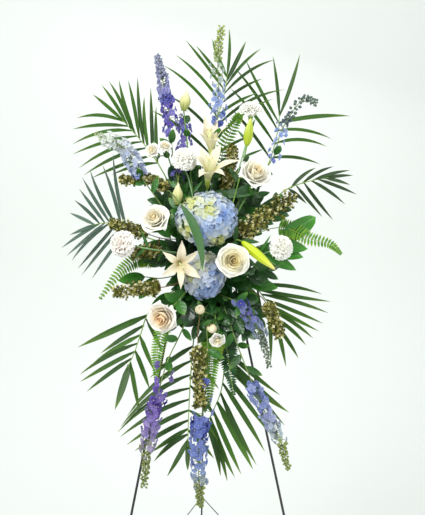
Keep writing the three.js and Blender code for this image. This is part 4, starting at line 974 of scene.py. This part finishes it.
def rose_petal(piece, centre, axis, radius, k, angle, spread):
    """A petal of a rose: k is 0 in the heart and 1 outside; the rim rolls outward."""
    foot = -0.8
    top = 0.42 - 0.42 * k ** 1.2
    mouth = 0.06 + 0.74 * k ** 0.85
    roll = 0.21 * k ** 1.5
    tilt = piece.between(-0.06, 0.06)
    notch = piece.between(-1, 1)

    def surface(u, w):
        height = foot + (top - foot) * w
        belly = mouth * (1 - (1 - w) ** 2.4)
        drop = (0.10 + 0.22 * k) * abs(u) ** 2.4 * w * w
        curl = bump(w, 0.72, 1.0)
        reach = belly + roll * curl * (0.7 + 0.3 * u * u) + 0.03 * k * sin(5 * u + notch * 3) * w
        height += -drop - 0.55 * roll * curl * curl + tilt * w
        turn = angle + u * spread * (0.35 + 0.65 * swell(w, 0.08, 0.62))
        return centre + (axis * height + around(axis, turn) * reach) * radius
    piece.sheet(surface, 8, 9, sizes().petal, spot=k)


# Rings of open rose petals: how far out they stand, their number and their turn
ROSE_RINGS = ((0.6, 4, 0.4), (0.82, 5, 0.0), (1.0, 5, 0.63))


def rose_bloom(piece, centre, axis, radius, heart=8):
    """An open rose on its calyx; rings of broad petals open outward round the petals of its tight heart."""
    for i in range(heart):
        k = 0.42 * i / (heart - 1)
        rose_petal(piece, centre, axis, radius, k, i * GOLDEN_ANGLE, 1.9 - 1.05 * k ** 0.5)
    for k, count, shift in ROSE_RINGS:
        for i in range(count):
            angle = shift + (i + piece.between(-0.12, 0.12)) * 2 * pi / count
            rose_petal(piece, centre, axis, radius, k - 0.04 * (i % 2), angle, 0.86)
    calyx(piece, centre, axis, radius, -0.78)


def calyx(piece, centre, axis, radius, foot):
    """The green cup and five pointed sepals under a bloom; foot is its height below the centre in radii."""
    piece.turn(centre + axis * foot * radius * 1.12, axis,
               lambda t: (0.3 * radius * t, 0.2 * radius * swell(t, 0.12, 0.76)), 10, 6, 1)
    for i in range(5):
        out = around(axis, i * 2 * pi / 5)
        side = axis.cross(out)

        def surface(u, w):
            width = 0.13 * radius * swell(w, 0.25, 0.75) + 0.0002
            reach = (0.14 + 0.62 * w) * radius
            height = (foot + 0.04 + 0.28 * w - 0.3 * w * w) * radius
            return centre + axis * (height - 0.002) + out * reach + side * u * width
        piece.sheet(surface, 2, 5, material=1)


# Roses: petal, stem, place, direction and radius. Spray roses: stems, blooms, and buds from foot to tip with
# their radius. Buds of roses: stem, foot, tip and radius
ROSES = (
    ("rose_upper_right", "cream", [(46, 72, 68), (54, 84, 96), (104, 180, 128)], (129, 237, 188), (0.3, 0.4,
     0.85), 44),
    ("rose_left", "cream", [(-48, 58, 74), (-58, 66, 100), (-110, 100, 136)], (-139, 117, 196), (-0.3, 0.35,
     0.88), 41),
    ("rose_centre", "ivory", [(36, 2, 70), (42, 2, 100), (58, 4, 150)], (69, 5, 226), (0.1, 0, 1), 44),
    ("rose_lower_left", "peach", [(-44, -66, 72), (-54, -76, 98), (-96, -122, 134)], (-121, -146, 192),
     (-0.35, -0.3, 0.88), 42),
)
SPRAY_ROSES = (
    ("spray_rose_bottom", ([(12, -84, 78), (18, -117, 108), (22, -165, 128), (26, -200, 132)], [(20, -150,
     122), (14, -160, 140), (12, -166, 146)], [(19, -140, 118), (-10, -128, 132), (-18, -126, 142)]), (((27,
     -205, 148), (0.1, -0.4, 0.9), 21),), (((12, -164, 142), (12, -184, 166), 13), ((-18, -126, 138), (-21,
     -118, 166), 13))),
    ("spray_rose_top_left", ([(-38, 92, 62), (-44, 112, 82), (-90, 235, 112), (-110, 300, 140)], [(-102, 278,
     130), (-126, 276, 122), (-140, 288, 142)]), (((-146, 292, 150), (-0.5, 0.3, 0.8), 22), ((-110, 304, 148),
     (0.1, 0.5, 0.85), 18)), ()),
)
ROSEBUDS = (
    ("rosebud_top_left", [(-24, 84, 72), (-28, 97, 96), (-52, 300, 128), (-62, 396, 134)], (-62, 394, 136),
     (-52, 450, 150), 15),
    ("rosebud_centre_left", [(-34, 70, 78), (-42, 84, 108), (-74, 132, 146), (-78, 150, 158)], (-78, 150,
     158), (-76, 210, 176), 14),
)


def flower_stem(piece, stem, place, direction, gap, radius, leaves):
    """A leafy stem that ends a gap behind its bloom; gives back the bloom's middle and direction."""
    axis = facing(*direction)
    right, up, forward = place
    end = right - axis.x * gap, up - axis.z * gap, forward + axis.y * gap
    piece.stem([*stem, end], radius, rows=14, leaves=leaves)
    return seen(*place), axis


def rosebud(piece, start, end, radius, petal=0):
    """A furled bud: petals wound tightly round each other above a green calyx."""
    low, high = seen(*start), seen(*end)
    axis = (high - low).normalized()
    length = (high - low).length
    for i in range(5):
        def surface(u, w):
            turn = i * 1.9 + u * 1.5
            reach = radius * MM * swell(w, 0.1, 0.72, 0.8)
            reach *= 0.86 + 0.05 * i * 0.4 + 0.06 * (u + 1) * (1 - w * 0.3)
            reach *= 1 - (0.95 - 0.14 * i) * bump(w, 0.5, 1.0)
            height = length * w * (1 - 0.04 * i) - length * 0.12 * w * u * u
            return low + axis * height + around(axis, turn) * reach
        piece.sheet(surface, 8, 8, material=petal, spot=0.3 + 0.15 * i)
    calyx(piece, low + axis * radius * 0.9 * MM, axis, radius * 1.15 * MM, -0.75)


class SPRAY_OT_roses(bpy.types.Operator):
    """Makes the open roses, the spray roses and the buds"""
    bl_idname = "spray.roses"
    bl_label = "Roses"

    def execute(self, context):
        # Rose petal: velvety and matt, warmer in the heart, nearly white at the rim
        finishes = {kind: petal_material(kind + "_rose_petal", stops, edge, by="spot", thin=0.4)
                    for kind, stops, edge in (
                        ("cream", {0: "#fff3cc", 0.35: "#fffbec", 1.0: colour_of("rose")}, "#ffffff"),
                        ("ivory", {0: "#fff2b4", 0.4: "#fffae0", 1: "#fffef8"}, "#fffefa"),
                        ("peach", {0: "#ffe4b4", 0.4: "#fff2d8", 1: "#fffdfa"}, "#fffdfa"))}
        closed, furled = [petal_material(name, stops, edge) for name, stops, edge in (
            ("furled_rose_petal", {0: "#b4c060", 0.5: "#e6e6a4", 1: "#f8f5d8"}, "#fbf9e6"),
            ("furled_spray_rose_petal", {0: "#c8ca80", 0.35: "#f3e8be", 1: "#faf3dc"}, "#fdf8ea"))]
        common = [leaf_material("rose_calyx", "#3f6a1e", "#6c9434", "#86a848", 0.5),
                  mottled_material("rose_stem", "#3f6a28", "#648a3a"), stem_leaf_material()]
        for piece, name, kind, stem, place, direction, radius in pieces(ROSES, seed=600):
            middle = flower_stem(piece, stem, place, direction, radius * 0.7, 2.6, (0.3, 0.95, 6, 46, 13))
            rose_bloom(piece, *middle, radius * MM)
            piece.finish(name + "_bloom", name, [finishes[kind], *common])
        for piece, name, stems, blooms, buds in pieces(SPRAY_ROSES, seed=620):
            for i, stem in enumerate(stems):
                piece.stem(stem, 1.5 if i else 2.0, leaves=(0.2, 0.9, 3 if i else 6, 32, 9))
            for place, direction, radius in blooms:
                rose_bloom(piece, seen(*place), facing(*direction), radius * MM, heart=5)
            for bud in buds:
                rosebud(piece, *bud, 4)
            piece.finish(name + "_blooms", name, [finishes["cream"], *common, furled])
        for piece, name, stem, *bud in pieces(ROSEBUDS, seed=640):
            piece.stem(stem, 2.0, rows=16, leaves=(0.3, 0.9, 6, 38, 10))
            rosebud(piece, *bud)
            piece.finish(name + "_bloom", name, [closed, *common])
        return {"FINISHED"}


# Petal, stem, place, direction and radius
CARNATIONS = (
    ("carnation_upper_left", "cream", [(-18, 78, 76), (-24, 97, 104), (-50, 220, 128)], (-59, 276, 162), (0.1,
     0.68, 0.72), 34),
    ("carnation_left", "blush", [(-50, 18, 76), (-62, 22, 100), (-160, 36, 150)], (-230, 49, 160), (-0.75,
     0.1, 0.65), 36),
    ("carnation_right", "cream", [(50, 22, 76), (62, 26, 100), (140, 20, 140)], (202, 39, 158), (0.7, 0.1,
     0.7), 34),
    ("carnation_top_right", "cream", [(30, 80, 78), (38, 97, 104), (98, 300, 116)], (113, 400, 126), (0, 0.9,
     0.4), 36),
)
HALF_OPEN = ("carnation_top_right",)
CARNATION_PETALS = 44


def carnation_petal(piece, centre, axis, radius, k, angle):
    """A fan with a ruffled, toothed rim; k is 0 in the heart and 1 outside."""
    rise = radians(82 - 84 * k)
    length = 0.62 + 0.42 * k
    phase = piece.between(0, 6)
    ruffle = piece.between(0.07, 0.12)

    def surface(u, w):
        teeth = 1 - 0.05 * (1 + cos(19 * u + phase)) * bump(w, 0.7, 1)
        reach = length * w * teeth
        lift = ruffle * sin(7 * u + phase) * w * w
        lean = rise - 0.5 * k * w
        low = -0.25 + 0.1 * (1 - k)
        height = low + sin(lean) * reach + lift * cos(lean)
        flat = 0.05 + cos(lean) * reach - lift * sin(lean)
        return centre + (axis * height + around(axis, angle + u * 0.62 * w) * flat) * radius
    piece.sheet(surface, 12, 6, sizes().petal, spot=k)


class SPRAY_OT_carnations(bpy.types.Operator):
    """Makes the carnations with ruffled petals over a long calyx"""
    bl_idname = "spray.carnations"
    bl_label = "Carnations"

    def execute(self, context):
        # Carnation petal: papery white, frilled, a little warmer deep down
        finishes = {kind: petal_material(name + "_carnation_petal", stops, "#ffffff", streaks=24.0, thin=0.25)
                    for kind, name, stops in (
                        ("cream", "white", {0: "#f8f3d6", 0.5: "#fefbee", 1: "#fffffa"}),
                        ("blush", "blush", {0: "#f3dcc8", 0.5: "#fbeee4", 1: "#fdfbf6"}))}
        green = leaf_material("carnation_calyx", "#5c8a3c", "#8fb45c", "#9fc06a", 0.5)
        stalk = mottled_material("carnation_stem", "#5f8a58", "#86a878")
        for piece, name, kind, stem, place, direction, radius in pieces(CARNATIONS, seed=700):
            leaves = 0.3, 0.9, 5, 60, 3.5
            centre, axis = flower_stem(piece, stem, place, direction, radius * 1.2, 2.0, leaves)
            scale = radius * MM
            piece.turn(centre - axis * 1.3 * scale, axis,
                       lambda t: (1.1 * scale * t, (0.13 + 0.16 * t ** 2) * scale), 12, 8, 1, 6, 0.05)
            inner_head(piece, centre - axis * 0.1 * scale, (radius, radius, radius), 0.5, 0)
            for i in range(CARNATION_PETALS):
                k = (i / (CARNATION_PETALS - 1)) ** 0.8 * (0.72 if name in HALF_OPEN else 1)
                carnation_petal(piece, centre, axis, scale, k, i * GOLDEN_ANGLE)
            piece.finish(name + "_bloom", name, [finishes[kind], green, stalk, stem_leaf_material()])
        return {"FINISHED"}


def tepal(piece, foot, mouth, tip, half, inner):
    """A lily tepal: from deep in the throat, out over the mouth and back at its tip."""
    axis = (mouth - foot).normalized()
    out = tip - mouth
    out = (out - axis * out.dot(axis)).normalized()
    start = foot.lerp(mouth, 0.12) + out * 0.0015
    near = mouth + axis * 0.006 + out * half * 0.75 * MM
    side = axis.cross(out)
    wave = piece.between(0, 6)

    def surface(u, w):
        ahead = (near - start) * (1 - w) + (tip - near) * w
        normal = side.cross(ahead).normalized()
        if normal.dot(axis - out) < 0:
            normal.negate()
        width = half * MM * (1 if inner else 0.75) * (0.2 + 0.85 * swell(w ** 1.35, 0, 1, 0.8)) * (1 - w ** 8)
        width += 0.0003
        ripple = 0.10 * width * sin(7 * w + wave) * u * u * (1 if u > 0 else -1)
        fold = width * (0.32 * abs(u) - 0.10) + ripple
        return bowed(w, start, near, tip) + side * u * width + normal * fold
    piece.sheet(surface, 6, 14, 0.0008, spot=0.7 if inner else 0.3)


def lily_bloom(piece, base, throat, half, tips):
    """Six tepals from a throat, six stamens and a pistil."""
    foot, mouth = seen(*base), seen(*throat)
    axis = (mouth - foot).normalized()
    for i, tip in enumerate(tips):
        tepal(piece, foot, mouth, seen(*tip), half, i % 2 == 0)
    span = (mouth - foot).length
    piece.turn(foot - axis * 0.002, axis, lambda t: (0.5 * span * t, (4.2 + 0.35 * half * t) * MM),
               12, 6, 1, 3, 0.08)
    deep = foot.lerp(mouth, 0.3)
    for i in range(6):
        out = around(axis, i * pi / 3 + 0.3)
        end = mouth + axis * 0.018 + out * 0.009
        piece.twig([deep, mouth + out * 0.003, end], 0.0007, 5, 8)
        side = axis.cross(out)
        piece.turn(end - side * 0.0035, side, lambda t: (0.007 * t, 0.0013 * swell(t, 0, 1, 0.6)), 6, 5, 3)
    piece.tube(Path([deep, mouth + axis * 0.02]), lambda t: 0.0009 + 0.001 * bump(t, 0.9, 1), material=2)


# Open lilies: node, stems with their radius and rows, and blooms by foot, mouth, half width and tips
LILY_STEM = [(-4, 78, 66), (-5, 97, 88), (-3, 160, 92), (0, 196, 118)]
LILIES = (
    ("lily_pair",
     ((LILY_STEM, 3.0, 14), ([(-2, 178, 104), (10, 240, 122), (12, 276, 130)], 2.2, 14)),
     (((0, 192, 118), (4, 258, 182), 13, [(-30, 274, 190), (87, 265, 196), (35, 306, 168), (-18, 300, 160),
                                          (-22, 222, 214), (46, 226, 214)]),
      ((11, 270, 128), (6, 326, 146), 12, [(-8, 362, 136), (53, 354, 146), (26, 372, 128), (-26, 336, 166),
                                           (28, 318, 182), (-8, 384, 150)]))),
    ("lily_star",
     (([(-40, -8, 72), (-48, -6, 98), (-70, 2, 136), (-78, 4, 148)], 2.6, 12),),
     (((-78, 4, 148), (-67, -8, 204), 11, [(-66, 57, 196), (-22, 31, 204), (-17, -41, 204), (-69, -70, 196),
                                           (-119, -35, 190), (-117, 28, 190)]),)),
)
# Lily buds: node, stem, foot and tip
LILY_BUDS = (
    ("lily_bud_green", [(30, 58, 78), (44, 84, 108), (84, 220, 156), (103, 305, 172)], (102, 300, 170),
     (113, 376, 180)),
    ("lily_bud_yellow", [(44, 26, 78), (54, 34, 108), (76, 58, 160), (90, 54, 182)], (88, 56, 180),
     (178, -20, 196)),
)


class SPRAY_OT_lilies(bpy.types.Operator):
    """Makes the open lilies and their buds"""
    bl_idname = "spray.lilies"
    bl_label = "Lilies"

    def execute(self, context):
        # Lily tepal: waxy cream, greenish down the throat, ribbed along its middle
        cream, star = [petal_material(*looks, roughness=0.45, streaks=10) for looks in (
            ("cream_lily_tepal", {0: "#cfd98a", 0.3: "#f0ecc4", 0.7: "#f8f3e0", 1: "#f6ecd6"}, "#fffaf0"),
            ("peach_lily_tepal", {0: "#e0d69e", 0.3: "#f3e8c8", 0.7: "#f8f1de", 1: "#f2e6ce"}, "#fff9ee"))]
        stalk = mottled_material("lily_stem", "#4f7a28", "#7a9c40")
        common = [leaf_material("lily_throat", "#a9bb4a", "#c8d07a", "#e0e0a0", 0.45),
                  mottled_material("lily_filament", "#d6dc9a", "#eef0c8"),
                  mottled_material("lily_anther", "#c9a86a", "#e2cc98"), stalk]
        leaf = stem_leaf_material("lily_stem_leaf")
        for piece, name, stems, blooms in pieces(LILIES, seed=801):
            for points, radius, rows in stems:
                piece.stem(points, radius, rows=rows, material=4)
            for bloom in blooms:
                lily_bloom(piece, *bloom)
            if name == "lily_pair":
                broad_leaf(piece, stem_path(LILY_STEM).at(0.8), seen(137, 181, 134), 12, 26, material=5)
                piece.finish("lily_pair_blooms", name, [cream, *common, leaf])
            else:
                piece.finish("lily_star_bloom", name, [star, *common])
        # Lily bud: six waxy ribs, still green or turning yellow
        skins = {
            "lily_bud_green": leaf_material("green_lily_bud", "#9db51e", "#c3cc3c", "#dfe27a", 0.4),
            "lily_bud_yellow": leaf_material("yellow_lily_bud", "#a8c414", "#e2ea2c", "#eedc98", 0.4),
        }
        for piece, name, stem, start, end in pieces(LILY_BUDS, seed=803):
            piece.stem(stem, 2.1, material=1, leaves=(0.2, 0.9, 5, 62, 6, 2))
            low, high = seen(*start), seen(*end)
            span = (high - low).length
            piece.turn(low, (high - low).normalized(),
                       lambda t: (span * t, (2 + 10 * swell(t ** 0.8, 0, 1)) * MM), 30, 18, ribs=6, depth=0.1)
            piece.finish(name + "_bloom", name, [skins[name], stalk, leaf])
        return {"FINISHED"}


def inner_head(piece, centre, radii, share, material):
    """A ball in the heart of a round flower head, a share of its size, filling the gaps; in the hydrangeas
    its dark colour is painted shade.
    """
    def surface(u, w):
        angle, height = pi * u, -cos(pi * w)
        flat = sqrt(max(0, 1 - height * height))
        return centre + stretched((flat * cos(angle), flat * sin(angle), height), radii) * share * MM
    piece.sheet(surface, 20, 12, 0, material)


# Each head: colours, stem, middle, radii, its share of florets, and its places of cream and of blue as shares
# of its width and height
HYDRANGEAS = (
    ("hydrangea_upper", "blue", [(0, 50, 74), (0, 62, 100), (-1, 100, 140)], (-1, 112, 166), (80, 52, 70),
     1.0, ((-0.5, 0.7), (0.0, 0.32), (-0.62, -0.4), (0.3, -0.78)), ((0.62, 0.12), (0.2, -0.35), (-0.15,
     -0.62))),
    ("hydrangea_lower", "grey", [(-8, -34, 74), (-8, -34, 100), (-8, -34, 130)], (-10, -34, 150), (56, 44,
     62), 0.6, ((0.2, 0.75), (-0.7, -0.1), (-0.2, 0.4)), ((0.5, -0.5), (0.0, -0.75), (0.6, 0.2))),
)


# How far back the florets go (2 is all round) and how wide a patch of colour is, in shares of the head
HYDRANGEA_COVER = 1.45
PATCH_SPREAD = 0.3


class SPRAY_OT_hydrangeas(bpy.types.Operator):
    """Makes the hydrangea heads of four-petalled florets"""
    bl_idname = "spray.hydrangeas"
    bl_label = "Hydrangeas"

    def execute(self, context):
        # Hydrangea sepal: papery, from sky blue to cream and green in soft patches over the head
        finishes = {kind: petal_material(kind + "_hydrangea_sepal", stops, "#f8fafd", by="spot",
                                         roughness=0.65, patches=(0.3, "#dfe7f2"))
                    for kind, stops in (
                        ("blue", {0: "#dfe27c", 0.2: "#eef0bc", 0.4: "#e2eaf2", 0.65: "#bcd0f0",
                                  1.0: colour_of("hydrangea")}),
                        ("grey", {0: "#c8ce98", 0.25: "#d3d4c6", 0.5: "#c6cfe0", 0.75: "#a6bce4",
                                  1: "#86a6dc"}))}
        common = [petal_material("hydrangea_bead", {0: "#8fa6d0", 1: "#e8f0b4"}, "#f0f4d0"),
                  mottled_material("hydrangea_stem", "#4a6f2c", "#6c8a44"),
                  # The dark blue ball inside the head: painted shade in the gaps between the florets
                  mottled_material("hydrangea_heart", "#4a6a90", "#7f9cc0")]
        template = open_floret([i * pi / 2 + (0.08 if i % 2 else -0.08) for i in range(4)], (1, 1, 1, 1),
                               (0.06, 0.6, 0.1, 0.78, 0.75, 0.16), (0.16, 0.24, 0.22, 0.04), -0.02, (0.2, 1))
        for piece, name, kind, stem, place, radii, share, cream, blue in pieces(HYDRANGEAS, seed=900):
            piece.stem(stem, 3.0, rows=10)
            centre = seen(*place)
            # A dark ball inside the head, painted shade between the florets
            inner_head(piece, centre, radii, 0.76, 3)
            count = int(sizes().florets * share)
            for i in range(count):
                forward = 1 - HYDRANGEA_COVER * (i + 0.5) / count
                flat = sqrt(max(0, 1 - forward ** 2))
                angle = i * GOLDEN_ANGLE
                axis = Vector((flat * cos(angle), -forward, flat * sin(angle)))
                reach = stretched(axis, radii) * MM
                normal = stretched(axis, [1 / r for r in radii]).normalized()
                normal = (normal + around(axis, i * 2.3) * 0.4).normalized()
                depth = piece.between(0.84, 0.99)
                patch = 0.5 + piece.between(-0.2, 0.2)
                for places, pull in ((cream, -0.6), (blue, 0.5)):
                    near = min((axis.x - x) ** 2 + (axis.z - z) ** 2 for x, z in places)
                    patch += pull * exp(-near / PATCH_SPREAD ** 2)
                size = piece.between(8.2, 10.6)
                piece.twig([centre + reach * 0.6, centre + reach * depth], 0.0008, 4)
                piece.stamp(template, turned(centre + reach * depth, normal, piece.between(0, 6), size * MM),
                            min(1, max(0, patch)))
            piece.finish(name + "_bloom", name, [finishes[kind], *common])
        bpy.data.meshes.remove(template)
        return {"FINISHED"}


class SPRAY_PT_panel(bpy.types.Panel):
    """Lists the spray's colours, sizes and makers"""
    bl_idname = "SPRAY_PT_panel"
    bl_label = "Funeral spray"
    bl_space_type = "VIEW_3D"
    bl_region_type = "UI"
    bl_category = "Spray"

    def draw(self, context):
        for group in (context.scene.spray_colours, context.scene.spray_sizes):
            for name in group.__annotations__:
                self.layout.prop(group, name)
        for maker in MAKERS:
            self.layout.operator(maker.bl_idname)


MAKERS = (SPRAY_OT_stage, SPRAY_OT_easel, SPRAY_OT_palms, SPRAY_OT_ferns, SPRAY_OT_leaves, SPRAY_OT_fillers,
          SPRAY_OT_delphiniums, SPRAY_OT_roses, SPRAY_OT_carnations, SPRAY_OT_lilies, SPRAY_OT_hydrangeas)
CLASSES = (SprayColours, SpraySizes, *MAKERS, SPRAY_PT_panel)


def register():
    for cls in CLASSES:
        bpy.utils.register_class(cls)
    bpy.types.Scene.spray_colours = PointerProperty(type=SprayColours)
    bpy.types.Scene.spray_sizes = PointerProperty(type=SpraySizes)


def unregister():
    del bpy.types.Scene.spray_sizes
    del bpy.types.Scene.spray_colours
    for cls in reversed(CLASSES):
        bpy.utils.unregister_class(cls)


def main():
    register()
    for maker in MAKERS:
        group, name = maker.bl_idname.split(".")
        getattr(getattr(bpy.ops, group), name)()


if __name__ == "__main__":
    main()
